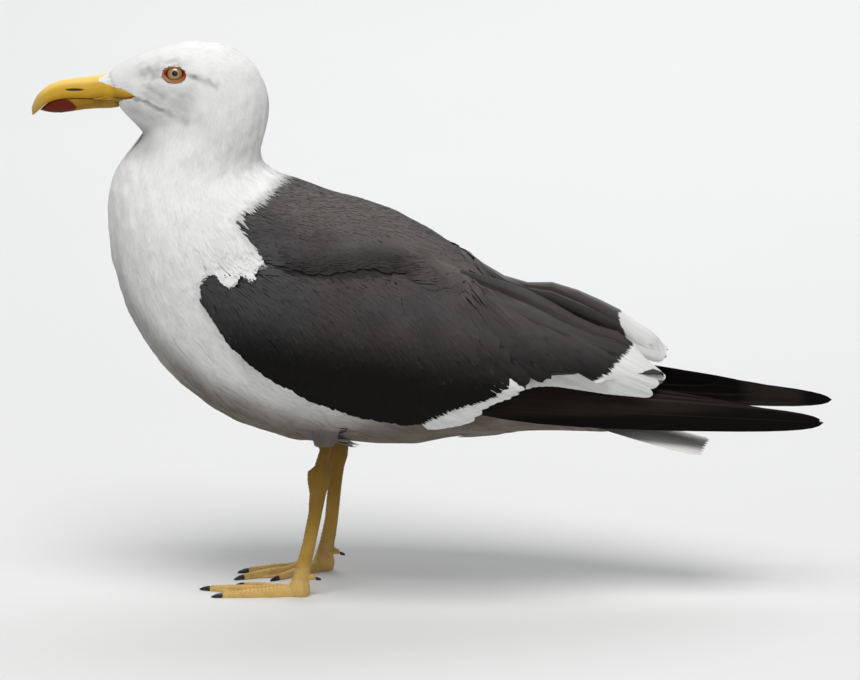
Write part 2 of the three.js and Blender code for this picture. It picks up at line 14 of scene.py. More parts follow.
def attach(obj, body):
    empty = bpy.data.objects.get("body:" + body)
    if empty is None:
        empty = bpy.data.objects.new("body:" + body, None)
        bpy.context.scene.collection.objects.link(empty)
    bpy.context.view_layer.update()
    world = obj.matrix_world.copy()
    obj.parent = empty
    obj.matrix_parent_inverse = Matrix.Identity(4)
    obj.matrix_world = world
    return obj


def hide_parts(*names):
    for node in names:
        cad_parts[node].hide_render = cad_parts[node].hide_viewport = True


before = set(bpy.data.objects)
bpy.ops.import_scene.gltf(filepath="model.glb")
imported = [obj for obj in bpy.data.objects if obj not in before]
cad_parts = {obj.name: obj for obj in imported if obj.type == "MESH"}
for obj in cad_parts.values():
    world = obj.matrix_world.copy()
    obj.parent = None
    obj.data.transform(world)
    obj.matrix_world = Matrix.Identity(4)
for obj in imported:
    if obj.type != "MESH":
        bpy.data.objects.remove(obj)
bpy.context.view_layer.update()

MM = 0.001
LEFT = -1
RIGHT = 1
SIDES = {"left": LEFT, "right": RIGHT}

# ---------------------------------------------------------------- sizes of the bird

# The coat's outline, slice by slice from the bill to the tail: the point on the back (x, z), the point
# on the breast or belly (x, z), half the width, how square the slice is, and how deep its keel is.
BODY_STATIONS = np.array([
    (-207.5, 322.0, -196.5, 302.5, 7.3, 0.0, 0.0),
    (-199.0, 322.5, -192.0, 303.0, 8.2, 0.0, 0.0),
    (-188.0, 329.6, -186.4, 295.0, 13.0, 0.0, 0.05),
    (-174.0, 336.0, -180.6, 289.0, 18.0, 0.0, 0.1),
    (-159.0, 341.0, -177.8, 285.8, 21.6, 0.02, 0.1),
    (-141.0, 342.6, -176.6, 284.3, 23.6, 0.04, 0.06),
    (-122.5, 339.0, -178.0, 281.6, 24.8, 0.04, 0.0),
    (-107.6, 327.0, -182.0, 277.2, 26.0, 0.02, 0.0),
    (-100.2, 308.5, -187.6, 270.2, 28.0, 0.0, 0.0),
    (-101.5, 288.0, -193.6, 261.0, 32.0, 0.0, 0.05),
    (-105.5, 269.0, -198.0, 248.5, 38.0, 0.0, 0.1),
    (-97.0, 260.5, -199.2, 232.0, 44.5, 0.02, 0.1),
    (-80.0, 254.0, -196.0, 205.0, 51.5, 0.04, 0.05),
    (-58.0, 246.0, -186.0, 171.5, 57.5, 0.06, 0.0),
    (-30.0, 239.0, -167.0, 141.5, 61.0, 0.08, 0.0),
    (-4.0, 226.0, -133.5, 112.5, 61.0, 0.08, 0.0),
    (20.0, 209.0, -92.0, 96.0, 58.0, 0.08, 0.0),
    (40.0, 190.0, -48.0, 89.0, 52.5, 0.05, 0.0),
    (58.0, 168.0, -8.0, 87.8, 44.5, 0.02, 0.0),
    (75.0, 147.0, 28.0, 96.0, 35.0, 0.0, 0.0),
    (90.0, 130.0, 62.0, 101.5, 26.0, 0.0, 0.0),
    (118.0, 112.6, 114.0, 101.6, 20.0, 0.0, 0.0),
])
# The stretches of the white coat: name, the slices where each starts and ends, the seed of its random
# draws, and whether its plumes part round the eyes.
TAIL_START = 21.0
STRETCHES = [
    ("coat_face", 0.0, 3.2, 11, True),
    ("coat_cheeks", 3.2, 4.6, 18, True),
    ("coat_head", 4.6, 6.1, 12, True),
    ("coat_nape", 6.1, 7.6, 19, True),
    ("coat_throat", 7.6, 9.1, 13, False),
    ("coat_neck", 9.1, 10.6, 20, False),
    ("coat_breast", 10.6, 14.0, 14, False),
    ("coat_belly", 14.0, 18.2, 15, False),
    ("coat_vent", 18.2, TAIL_START, 16, False),
]

# The folded arm of the wing: x, then the outer face's top edge, crest, side and lower edge (|y|, z).
ARM_STATIONS = np.array([
    (-138, 57.0, 203.0, 58.8, 200.5, 59.5, 197.5, 58.0, 193.0),
    (-131, 57.0, 207.0, 61.0, 200.0, 63.0, 192.0, 60.0, 183.0),
    (-120, 57.5, 211.0, 63.5, 201.0, 66.5, 186.0, 61.5, 166.0),
    (-98, 58.5, 215.0, 66.0, 202.0, 70.0, 178.0, 63.5, 147.0),
    (-60, 57.5, 215.0, 66.5, 200.0, 71.5, 168.0, 64.5, 128.0),
    (-20, 51.0, 213.0, 63.5, 198.0, 71.0, 163.0, 62.5, 118.0),
    (20, 20.0, 208.0, 43.0, 204.0, 66.0, 160.0, 57.5, 116.0),
    (48, 5.0, 191.0, 21.0, 195.0, 60.0, 156.0, 51.5, 131.0),
    (68, 2.5, 184.0, 18.0, 190.5, 54.0, 153.0, 46.0, 137.0),
    (92, 2.0, 174.0, 16.0, 183.5, 45.5, 149.0, 38.5, 139.0),
    (117, 2.0, 163.0, 14.5, 172.5, 35.5, 143.0, 30.5, 134.0),
    (137, 2.5, 152.0, 12.0, 160.0, 26.0, 140.0, 24.5, 132.0),
    (147, 5.0, 147.0, 9.5, 150.5, 16.0, 144.0, 17.0, 138.0),
], float)
# The left wing's rear end lies lower, and the right one's tertials rest on it.
LEFT_REAR_STATIONS = np.array([
    (92, 2.0, 171.0, 15.5, 180.0, 45.0, 148.0, 38.5, 139.0),
    (117, 3.0, 157.0, 13.5, 165.5, 34.0, 141.0, 30.5, 134.0),
    (137, 4.5, 142.0, 11.5, 148.0, 23.0, 137.0, 24.0, 131.0),
    (147, 6.5, 133.0, 10.0, 137.0, 15.0, 133.0, 17.0, 129.0),
], float)

# Where the dark back begins: x of the border at each height z. In front of it the coat is white.
MANTLE_BORDER = [(200, -92), (214, -96.5), (221, -103), (227, -109), (233, -112), (240, -117), (247, -106),
                 (252, -97), (263, -82)]
# The dark back's lower edge behind the scapulars, under the wings, and its rear end.
MANTLE_UNDERSIDE = [(10, 196), (25, 184), (60, 160), (130, 130)]
MANTLE_END = 130
# The line of the back, where painted light from above makes the dark feathers paler: height z at each x.
MANTLE_CREST = [(-100, 260), (-80, 254), (-58, 246), (-30, 239), (-4, 226), (20, 212), (60, 196),
                (150, 155)]
# The lower edge of the scapulars, over the wing: height z at each x.
SCAPULAR_EDGE = [(-104, 220), (-100, 216), (-86, 211), (-63, 209), (-46, 210), (-24, 211), (-12, 207),
                 (0, 199), (12, 190), (21, 188), (27, 199), (50, 188)]
# Where the dark coverts end over the white tips of the secondaries, and where those tips end.
WHITE_LINE_TOP = [(-2, 114.0), (8, 119.5), (20, 126), (47, 135.5), (58, 141), (75, 143.5), (84, 144.5),
                  (100, 143), (104, 144), (114, 147), (120, 152), (129, 158), (147, 170)]
WHITE_LINE_END = [(14, 114.0), (31, 117), (40, 126.5), (51, 133), (68, 138), (87, 137.4), (103, 134.5),
                  (118, 132), (140, 130)]

# Folded primaries, longest and lowest first: root, tip and half of the blade's breadth.
PRIMARIES = [
    ((32, 46.0, 125.0), (244.5, 7.0, 109.0), 10.0),
    ((33, 44.0, 131.0), (227.0, 7.6, 110.0), 10.5),
    ((35, 39.0, 136.0), (201.0, 7.6, 114.5), 9.5),
    ((37, 36.5, 138.0), (174.0, 7.4, 119.5), 8.0),
]
# How much their blades lean outwards, how long the white spots at the left ones' tips are, and how far
# the right wing's tips lie behind and above the left's.
PRIMARY_LEAN = 0.28
PRIMARY_SPOT = 2.6
RIGHT_TIP_REACH, RIGHT_TIP_RISE = 4.3, 11.5

EYE_RADIUS = 7.4
EYE_CENTRE = (-156.6, 13.3, 325.0)
# The lids' outer and inner edges: middle (x, z) and half sizes.
LID_CENTRE, LID_SIZE = (-156.9, 325.55), (6.9, 4.65)
SLIT_CENTRE, SLIT_SIZE = (-156.7, 326.05), (5.4, 3.7)

# ---------------------------------------------------------------- camera, floor and light

AIM = Vector((-0.0023, 0.0329, 0.1487))
VIEW_AZIMUTH = math.radians(4.0)
VIEW_ELEVATION = math.radians(12.5)
VIEW_WIDTH = 0.5332
LENS = 1100.0
SENSOR = 36.0


def add_camera():
    back = Vector((
        math.sin(VIEW_AZIMUTH) * math.cos(VIEW_ELEVATION),
        -math.cos(VIEW_AZIMUTH) * math.cos(VIEW_ELEVATION),
        math.sin(VIEW_ELEVATION),
    ))
    bpy.ops.object.camera_add(location=AIM + back * (VIEW_WIDTH * LENS / SENSOR))
    camera = bpy.context.object
    camera.data.lens = LENS
    camera.data.sensor_width = SENSOR
    camera.data.clip_end = 100
    camera.rotation_euler = (-back).to_track_quat("-Z", "Y").to_euler()
    bpy.context.scene.camera = camera


# The bird's middle, and the soft square lights: name, place, what each one faces, size, power and colour.
BIRD = (0, 0, 0.2)
LIGHTS = [
    ("sky_panel", (-0.15, -0.8, 2.1), BIRD, 1.3, 39, (1.0, 0.995, 0.985)),
    ("side_panel", (0.4, -2.4, 1.5), BIRD, 2.0, 4, (1.0, 0.99, 0.975)),
    ("floor_panel", (0.2, 2.0, 1.7), (0.2, 1.9, 0), 2.4, 40, (0.97, 0.985, 1.0)),
]
AIR_COLOUR = (0.86, 0.88, 0.9, 1)
AIR_STRENGTH = 0.22


def add_light(name, place, aim, size, power, colour):
    bpy.ops.object.light_add(type="AREA", location=place)
    light = bpy.context.object
    light.name = name
    light.data.size = size
    light.data.energy = power
    light.data.color = colour
    light.rotation_euler = (Vector(aim) - Vector(place)).to_track_quat("-Z", "Y").to_euler()
    light.visible_camera = False


def add_studio():
    for light in LIGHTS:
        add_light(*light)
    world = bpy.data.worlds.new("studio_air")
    bpy.context.scene.world = world
    world.use_nodes = True
    air = world.node_tree.nodes["Background"]
    air.inputs["Color"].default_value = AIR_COLOUR
    air.inputs["Strength"].default_value = AIR_STRENGTH
    bpy.context.scene.view_settings.view_transform = "Standard"


# ---------------------------------------------------------------- shader helpers


class Wire:
    """A value in a material. Sums and products of wires add the nodes that work them out."""

    def __init__(self, finish, socket):
        self.finish = finish
        self.socket = socket

    def math(self, operation, *values):
        return self.finish.node("ShaderNodeMath", {"operation": operation}, values)

    def __add__(self, other):
        return self.math("ADD", self, other)

    def __sub__(self, other):
        return self.math("SUBTRACT", self, other)

    def __rsub__(self, other):
        return self.math("SUBTRACT", other, self)

    def __mul__(self, other):
        return self.math("MULTIPLY", self, other)

    def __truediv__(self, other):
        return self.math("DIVIDE", self, other)

    __radd__ = __add__
    __rmul__ = __mul__

    def sine(self):
        return self.math("SINE", self)

    def size(self):
        return self.math("ABSOLUTE", self)

    def ramp(self, start, end):
        """0 up to start and 1 from end, with a smooth step between them. Start may be above end."""
        settings = {"interpolation_type": "SMOOTHSTEP"}
        return self.finish.node("ShaderNodeMapRange", settings, (self, start, end, 0.0, 1.0))


class Finish:
    """A material with one Principled shader, and the methods that add nodes to it."""

    def __init__(self, name, roughness, **constants):
        self.material = bpy.data.materials.new(name)
        self.material.use_nodes = True
        self.tree = self.material.node_tree
        self.shader = self.tree.nodes["Principled BSDF"]
        self.shader.inputs["Roughness"].default_value = roughness
        for socket, value in constants.items():
            self.shader.inputs[socket.replace("_", " ")].default_value = value

    def node(self, kind, settings=None, values=(), output=0):
        made = self.tree.nodes.new(kind)
        for key, value in (settings or {}).items():
            setattr(made, key, value)
        pairs = values.items() if isinstance(values, dict) else enumerate(values)
        for socket, value in pairs:
            if isinstance(value, Wire):
                self.tree.links.new(value.socket, made.inputs[socket])
            elif value is not None:
                made.inputs[socket].default_value = value
        return Wire(self, made.outputs[output])

    def place(self):
        return self.node("ShaderNodeTexCoord", output=3)

    def parts_of(self, vector):
        """The x, y and z of a vector, as three wires."""
        made = self.node("ShaderNodeSeparateXYZ", values=(vector,))
        return [Wire(self, socket) for socket in made.socket.node.outputs]

    def mark(self, name):
        """A number that the piece's points carry."""
        return self.node("ShaderNodeAttribute", {"attribute_name": name}, output=2)

    def vane(self):
        """Across the feather, -1 to 1, and along it, 0 at the root to 1 at the tip."""
        across, along, _ = self.parts_of(self.node("ShaderNodeUVMap", {"uv_map": "vane"}))
        return across * 2.0 - 1.0, along

    def cloud(self, scale, detail=3.0, where=None):
        values = {"Vector": where or self.place(), "Scale": scale, "Detail": detail}
        return self.node("ShaderNodeTexNoise", None, values)

    def blend(self, share, first, second):
        """A colour between first and second. Plain colours are given as three numbers."""
        values = {0: share}
        for socket, colour in ((6, first), (7, second)):
            values[socket] = colour if isinstance(colour, Wire) else (*colour, 1.0)
        return self.node("ShaderNodeMix", {"data_type": "RGBA"}, values, 2)

    def layers(self, colour, *layers):
        """A colour with others laid over it, each given as its share and itself."""
        for share, over in layers:
            colour = self.blend(share, colour, over)
        return colour

    def paint(self, colour, height=None, depth=0.0, strength=1.0):
        """Sets the colour, and the fine relief where there is one, and hands over the material."""
        self.tree.links.new(colour.socket, self.shader.inputs["Base Color"])
        if height is not None:
            values = {"Strength": strength, "Distance": depth, "Height": height}
            bump = self.node("ShaderNodeBump", None, values)
            self.tree.links.new(bump.socket, self.shader.inputs["Normal"])
        return self.material


# ---------------------------------------------------------------- shape helpers


def choose(piece):
    """Makes a piece the only one selected, and the active one."""
    bpy.ops.object.select_all(action="DESELECT")
    piece.select_set(True)
    bpy.context.view_layer.objects.active = piece


def apply_modifier(piece, kind, **settings):
    """Adds a modifier with these settings and applies it at once."""
    choose(piece)
    modifier = piece.modifiers.new(kind.lower(), kind)
    for key, value in settings.items():
        setattr(modifier, key, value)
    bpy.ops.object.modifier_apply(modifier=modifier.name)


def edit_all(operator, **settings):
    """Runs an operator on the whole mesh of the active piece."""
    bpy.ops.object.mode_set(mode="EDIT")
    bpy.ops.mesh.select_all(action="SELECT")
    operator(**settings)
    bpy.ops.object.mode_set(mode="OBJECT")


def copy_of(name, nodes):
    """A new piece with the joined, merged meshes of some CAD nodes."""
    bpy.ops.object.select_all(action="DESELECT")
    for node in nodes:
        copy = bpy.data.objects.new(f"{name}_{node}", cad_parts[node].data.copy())
        bpy.context.scene.collection.objects.link(copy)
        copy.select_set(True)
        bpy.context.view_layer.objects.active = copy
    if len(nodes) > 1:
        bpy.ops.object.join()
    piece = bpy.context.view_layer.objects.active
    piece.name = name
    piece.data.materials.clear()
    edit_all(bpy.ops.mesh.remove_doubles, threshold=1e-6)
    return piece


def fuse(piece, voxel, grow, smoothing):
    """Makes one even shell of a piece's overlapping solids."""
    apply_modifier(piece, "DISPLACE", strength=grow, mid_level=0.0)
    apply_modifier(piece, "REMESH", mode="VOXEL", voxel_size=voxel)
    apply_modifier(piece, "SMOOTH", factor=0.5, iterations=smoothing)


def points_of(piece, field="co"):
    """The places of a piece's points, as rows of an array."""
    values = np.empty(len(piece.data.vertices) * 3, np.float32)
    piece.data.vertices.foreach_get(field, values)
    return values.reshape(-1, 3).astype(float)


def normals_of(piece):
    return points_of(piece, "normal")


def face_outwards(piece):
    """Turns all faces of a closed piece outwards."""
    choose(piece)
    edit_all(bpy.ops.mesh.normals_make_consistent, inside=False)


def move_points(piece, points):
    piece.data.vertices.foreach_set("co", points.astype(np.float32).ravel())
    piece.data.update()


def write_mark(piece, name, values):
    """Gives each point of a piece a number that its finish reads."""
    attribute = piece.data.attributes.new(name, "FLOAT", "POINT")
    attribute.data.foreach_set("value", np.asarray(values, np.float32).ravel())


def settle(piece, nodes, material):
    """Gives a finished piece its material and its body, and hides the CAD nodes that it stands for."""
    piece.data.materials.clear()
    piece.data.materials.append(material)
    choose(piece)
    bpy.ops.object.shade_smooth()
    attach(piece, "root")
    if nodes:
        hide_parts(*nodes)


def through(values, at):
    """A smooth curve through the rows of a table, read at fractional row numbers."""
    last = len(values) - 1
    at = np.clip(np.asarray(at, float), 0, last)
    row = np.minimum(at.astype(int), last - 1)
    share = (at - row)[..., None]
    start, end = values[row], values[row + 1]
    before = np.where((row > 0)[..., None], values[np.maximum(row - 1, 0)], 2 * start - end)
    after = np.where((row < last - 1)[..., None], values[np.minimum(row + 2, last)], 2 * end - start)
    return 0.5 * (
        2 * start + (end - before) * share
        + (2 * before - 5 * start + 4 * end - after) * share**2
        + (3 * start - before - 3 * end + after) * share**3
    )


def line(table, at):
    """A straight-sided curve through pairs of numbers."""
    places, values = zip(*table)
    return np.interp(at, places, values)


def axes_of(points):
    """The x, y and z of points, in millimetres."""
    return np.moveaxis(points / MM, -1, 0)


def unit(vectors):
    """Vectors of the same directions, one long."""
    return vectors / np.maximum(np.linalg.norm(vectors, axis=-1, keepdims=True), 1e-12)


def step(value, start, end):
    """0 up to start and 1 from end, smooth between them."""
    share = np.clip((value - start) / (end - start), 0, 1)
    return share * share * (3 - 2 * share)


def body_point(station, turn):
    """A point of the coat: turn 0 is on the back, and half a circle is at the breast or belly."""
    back_x, back_z, front_x, front_z, half, full, keel = np.moveaxis(through(BODY_STATIONS, station), -1, 0)
    rise = np.cos(turn)
    square = full * np.sin(2 * turn) ** 2
    spread = np.sin(turn) * (1 + square) * (1 - keel * rise)
    lift = rise * (1 + 0.5 * square)
    x = (back_x + front_x) / 2 + (back_x - front_x) / 2 * lift
    z = (back_z + front_z) / 2 + (back_z - front_z) / 2 * lift
    return MM * np.stack([x, half * spread, z], -1)


def wing_point(side, x, down):
    """A point of the wing's outer face at x, in millimetres: down 0 is the top edge and 1 the lower edge."""
    stations = ARM_STATIONS.copy()
    if side == LEFT:
        stations[-len(LEFT_REAR_STATIONS):] = LEFT_REAR_STATIONS
    at = np.interp(x, stations[:, 0], np.arange(len(stations)))
    top_y, top_z, crest_y, crest_z, side_y, side_z, low_y, low_z = np.moveaxis(
        through(stations[:, 1:], at), -1, 0)
    shares = (
        -4.5 * (down - 1 / 3) * (down - 2 / 3) * (down - 1),
        13.5 * down * (down - 2 / 3) * (down - 1),
        -13.5 * down * (down - 1 / 3) * (down - 1),
        4.5 * down * (down - 1 / 3) * (down - 2 / 3),
    )
    y = sum(share * value for share, value in zip(shares, (top_y, crest_y, side_y, low_y)))
    z = sum(share * value for share, value in zip(shares, (top_z, crest_z, side_z, low_z)))
    return MM * np.stack([np.asarray(x, float) + 0 * y, side * y, z], -1)


# ---------------------------------------------------------------- markings


def near_strokes(points, strokes):
    """How much each point lies on some soft strokes, drawn on both sides of the head in (x, z)."""
    waver = np.stack([ripple(points, 6, 31), ripple(points, 6, 32)], -1) * 0.9
    place = points[..., (0, 2)] / MM + waver
    amount = np.zeros(points.shape[:-1])
    for start, end, width, strength in strokes:
        start = np.array(start)
        run = np.array(end) - start
        share = np.clip(((place - start) @ run) / (run @ run), 0, 1)
        distance = np.linalg.norm(place - start - share[..., None] * run, axis=-1)
        amount = np.maximum(amount, strength * np.exp(-((distance / width) ** 2)))
    amount *= 0.85 + 0.2 * ripple(points * [0.6, 1, 1], 4, 33)
    return np.clip(amount, 0, 1) * step(np.abs(points[..., 1]) / MM, 3, 9)


# Painted soft shade of the face, in grey: start and end (x, z), width and strength.
FACE_SHADE_STROKES = [
    ((-178.0, 325.0), (-168.0, 327.0), 4.2, 0.62),
    ((-171.0, 323.0), (-165.5, 325.0), 3.0, 0.6),
    ((-149.3, 326.6), (-142.0, 324.0), 1.5, 0.9),
    ((-142.0, 324.0), (-131.0, 320.0), 1.9, 0.65),
    ((-165.0, 332.5), (-150.0, 332.5), 1.8, 0.2),
    ((-184.0, 310.3), (-174.5, 308.2), 1.4, 1.0),
    ((-174.5, 308.2), (-164.0, 303.8), 1.8, 0.95),
    ((-164.0, 303.8), (-148.0, 297.5), 2.6, 0.6),
    ((-176.0, 313.0), (-165.0, 308.5), 1.4, 0.5),
    ((-173.0, 318.0), (-162.0, 311.5), 3.4, 0.6),
    ((-162.0, 311.5), (-149.0, 303.5), 4.0, 0.45),
    ((-170.0, 314.0), (-150.0, 313.0), 8.0, 0.45),
    ((-182.0, 302.0), (-165.0, 296.0), 5.5, 0.4),
    ((-150.0, 303.0), (-128.0, 288.0), 7.0, 0.22),
]


# The lowest line of the breast and belly: height z at each x.
BELLY_LINE = [tuple(row) for row in BODY_STATIONS[11:, 2:4]]


def above_belly(points):
    x, _, z = axes_of(points)
    return z - line(BELLY_LINE, x)


def painted_shade_of(points):
    """Painted shade, in grey, of the face, throat and the front of the breast."""
    x, _, z = axes_of(points)
    throat = 0.5 * step(-x, 160, 176) * step(z, 300, 288) * step(z, 268, 280)
    breast = 0.7 * step(z, 250, 170) * step(above_belly(points) - 10 * step(x, -60, 5), 42, 6)
    return np.maximum(near_strokes(points, FACE_SHADE_STROKES), np.maximum(throat, breast))


def soil_and_shade_of(points):
    """Brown staining and painted shade of the lower breast, belly and flanks, darker towards the bottom and
    at the vent.
    """
    x = points[..., 0] / MM
    rear = step(x, -60, 5)
    vent = step(x, -35, 0) * step(points[..., 2] / MM, 122, 110)
    return np.maximum(step(x, -192, -135) * step(above_belly(points) - 14 * rear, 37, 8), 0.9 * vent)


def is_slate(points):
    """True where the body's own coat is dark: the mantle and scapulars."""
    x, _, z = axes_of(points)
    return (x > line(MANTLE_BORDER, z)) & (z > line(MANTLE_UNDERSIDE, x)) & (x < MANTLE_END)


# ---------------------------------------------------------------- the form under the feathers

FLESH = ["head", "neck", "trunk", "rump", "thigh_left", "thigh_right"]
ARMS = [f"wing_{name}_{part}" for name in SIDES for part in ("coverts", "tertials", "secondaries")]
BILL = ["bill_upper", "bill_lower"]

# Each thigh's middle (x, y) where it meets the shank, and how much the flesh under its plumes is slimmed.
THIGH_FOOT = {LEFT: (-63.0, -37.0), RIGHT: (-57.5, 37.0)}
THIGH_SLIMMING = 0.55
# The belly's feathers are held up a little between and behind the legs.
BELLY_LIFT = 2.6

# Swellings and hollows of the head: centre (x, |y|, z), radius and height.
FACE_RELIEF = [
    ((-157.0, 17.5, 332.8), 6.5, 1.0),
    ((-172.0, 15.0, 324.0), 6.0, -1.0),
    ((-146.0, 22.0, 321.5), 6.0, -0.5),
    ((-158.0, 20.5, 311.0), 9.0, 0.9),
    ((-176.0, 12.0, 306.5), 4.0, -0.6),
    ((-189.0, 0.0, 302.5), 5.0, 1.2),
]


def with_relief(points, normals):
    """Points moved out or in by the swellings and hollows of the head."""
    mirrored = points / MM * (1, 0, 1) + np.abs(points / MM) * (0, 1, 0)
    height = np.zeros(len(points))
    for centre, radius, amount in FACE_RELIEF:
        distance = np.linalg.norm(mirrored - centre, axis=-1)
        height += amount * np.exp(-((distance / radius) ** 2))
    return points + normals * height[:, None] * MM


# How far the crest of each folded wing lies under its CAD sections behind the shoulder, at each x.
CREST_SINK = {
    LEFT: [(8, 0), (22, 2.2), (30, 4.5), (40, 6.5), (50, 7.5), (60, 10), (66, 12), (85, 14.5), (103, 12.3),
           (115, 7), (125, 5), (135, 4), (152, 1)],
    RIGHT: [(8, 0), (22, 2.6), (30, 5), (40, 6.5), (46, 7), (56, 8.3), (66, 6), (79, 3.6), (88, 4),
            (101, 3.6), (114, 2.8), (122, 4.5), (135, 3), (152, 1)],
}
WING_CREST = [(10, 214), (20, 213.6), (30, 210), (40, 205), (50, 201), (60, 199), (70, 196), (84, 191),
              (100, 183), (112, 175), (122, 168), (135, 157), (145, 146)]


def with_sunk_crest(points):
    """Points with the crests of the wings let down over the lower back."""
    x, y, z = axes_of(points)
    amount = np.where(y < 0, line(CREST_SINK[LEFT], x), line(CREST_SINK[RIGHT], x))
    moved = points.copy()
    moved[..., 2] -= amount * MM * step(line(WING_CREST, x) - z, 32, 3)
    return moved


def slim_thighs():
    """The flesh of the thighs, slim enough for the sleeves of plumes round it."""
    thighs = copy_of("thighs", [f"thigh_{name}" for name in SIDES])
    points = points_of(thighs)
    for side in SIDES.values():
        here = points[:, 1] * side > 0
        axis = np.array(THIGH_FOOT[side]) * MM
        points[here, :2] = axis + (points[here, :2] - axis) * THIGH_SLIMMING
    move_points(thighs, points)
    return thighs


def make_form(name, legs):
    """The outer shape of the body and folded arms as one even shell, with or without the thighs."""
    thighs = slim_thighs() if legs else None
    form = copy_of(name, FLESH[:4] + ARMS)
    if legs:
        thighs.select_set(True)
        bpy.ops.object.join()
    fuse(form, voxel=0.002, grow=0.0003, smoothing=4)
    points = with_relief(points_of(form), normals_of(form))
    x, _, z = axes_of(points)
    points[:, 2] += BELLY_LIFT * MM * step(x, -85, -50) * step(x, 45, 8) * step(z, 120, 98)
    move_points(form, with_sunk_crest(points))
    return form


def tree_of(*pieces):
    """A search tree of the faces of some pieces."""
    points, polygons = [], []
    for piece in pieces:
        first = len(points)
        points += [tuple(point) for point in points_of(piece)]
        polygons += [[first + k for k in polygon.vertices] for polygon in piece.data.polygons]
    return BVHTree.FromPolygons(points, polygons)


class Sheet:
    """A stretch of the bird's outer surface: a grid of points that can be read at any u and v."""

    def __init__(self, points, low, high, inside, buried=None, smoothing=2):
        for _ in range(smoothing):
            around = points[:-2, 1:-1] + points[2:, 1:-1] + points[1:-1, :-2] + points[1:-1, 2:]
            points[1:-1, 1:-1] = (points[1:-1, 1:-1] * 2 + around) / 6
        self.low, self.high, self.inside = np.array(low), np.array(high), inside
        self.cells = np.array(points.shape[:2]) - 1
        pitch = (self.high - self.low) / self.cells
        along_u, along_v = np.gradient(points, axis=0), np.gradient(points, axis=1)
        normals = unit(np.cross(along_u, along_v))
        # Plus one where u, v and the outward normal turn as a right hand does.
        self.hand = np.sign((normals * (points - inside)).sum())
        normals *= self.hand
        rates = [np.linalg.norm(along, axis=-1) / size for along, size in zip((along_u, along_v), pitch)]
        buried = np.zeros(points.shape[:2]) if buried is None else buried
        self.layers = np.concatenate([points, normals, rates[0][..., None], rates[1][..., None],
                                      buried[..., None]], -1)

    def rippled(self, height_at):
        """This sheet with soft waves, as high in millimetres as height_at says for each point and u."""
        points = self.layers[..., :3]
        u = np.linspace(self.low[0], self.high[0], self.cells[0] + 1)[:, None]
        raised = points + self.layers[..., 3:6] * (height_at(points, u) * MM)[..., None]
        return Sheet(raised, self.low, self.high, self.inside, self.layers[..., 8], smoothing=0)

    def read(self, u, v):
        """Points, normals, metres for each unit of u and of v, and the depth under other parts."""
        place = (np.stack(np.broadcast_arrays(u, v), -1) - self.low) / (self.high - self.low) * self.cells
        place = np.clip(place, 0, self.cells - 1e-6)
        i, j = place[..., 0].astype(int), place[..., 1].astype(int)
        a, b = (place[..., 0] - i)[..., None], (place[..., 1] - j)[..., None]
        grid = self.layers
        found = ((grid[i, j] * (1 - a) + grid[i + 1, j] * a) * (1 - b)
                 + (grid[i, j + 1] * (1 - a) + grid[i + 1, j + 1] * a) * b)
        return found[..., :3], unit(found[..., 3:6]), found[..., 6], found[..., 7], found[..., 8]


def ripple(points, wavelength, seed):
    """Soft waves over the bird, mostly between -1 and 1."""
    draws = np.random.default_rng(seed)
    total = 0
    for _ in range(9):
        way = unit(draws.normal(size=3)) * 2 * math.pi / (wavelength * MM * draws.uniform(0.7, 1.5))
        total = total + np.sin(points @ way + draws.uniform(0, 2 * math.pi))
    return total / 4


def grid_of(point_at, low, high, cells):
    u = np.linspace(low[0], high[0], cells[0] + 1)
    v = np.linspace(low[1], high[1], cells[1] + 1)
    return point_at(*np.meshgrid(u, v, indexing="ij"))


def drawn_to(tree, points, reach):
    """Points moved onto the nearest surface where it is within reach, and how far away it was."""
    flat, far = points.reshape(-1, 3).copy(), np.empty(points.size // 3)
    for i, point in enumerate(flat):
        place, _, _, far[i] = tree.find_nearest(Vector(point))
        if far[i] < reach:
            flat[i] = place
    return flat.reshape(points.shape), far.reshape(points.shape[:-1])


# How high the soft waves of the plumage are, in millimetres, by station.
WAVES = [(0, 0.0), (4, 0.06), (7, 0.2), (9, 0.55), (12, 0.75), (16, 0.6), (21, 0.3)]
TUFTS = [(0, 0.0), (3, 0.02), (5, 0.08), (7, 0.16), (9, 0.34), (12, 0.36), (15, 0.24), (21, 0.15)]


# How near the form a sheet's points have to be to be drawn onto it, and how far round a closed sheet
# laps over its own start, in radians.
SNAP = 2.5
LAP = 0.3
BODY_CELLS = (260, 220)


def body_sheet(tree):
    """The body's surface by station and turn. It laps over itself along the back, so no seam shows."""
    low, high = (0.0, -LAP), (TAIL_START, 2 * math.pi + LAP)
    points, buried = drawn_to(tree, grid_of(body_point, low, high, BODY_CELLS), SNAP * MM)
    calm = Sheet(points, low, high, points.mean(1, keepdims=True), buried)

    def tufts(place, station):
        soft = ripple(place * [1, 1, 0.55], 17, 3) * line(WAVES, station)
        return soft + ripple(place * [1, 1, 0.6], 7.5, 4) * line(TUFTS, station)

    return calm.rippled(tufts)


WING_LOW, WING_HIGH = (-140.0, -0.3), (152.0, 1.15)
WING_CELLS = (220, 116)
# How far the wing's inner face goes down for each unit of down.
INNER_FACE = 60.0


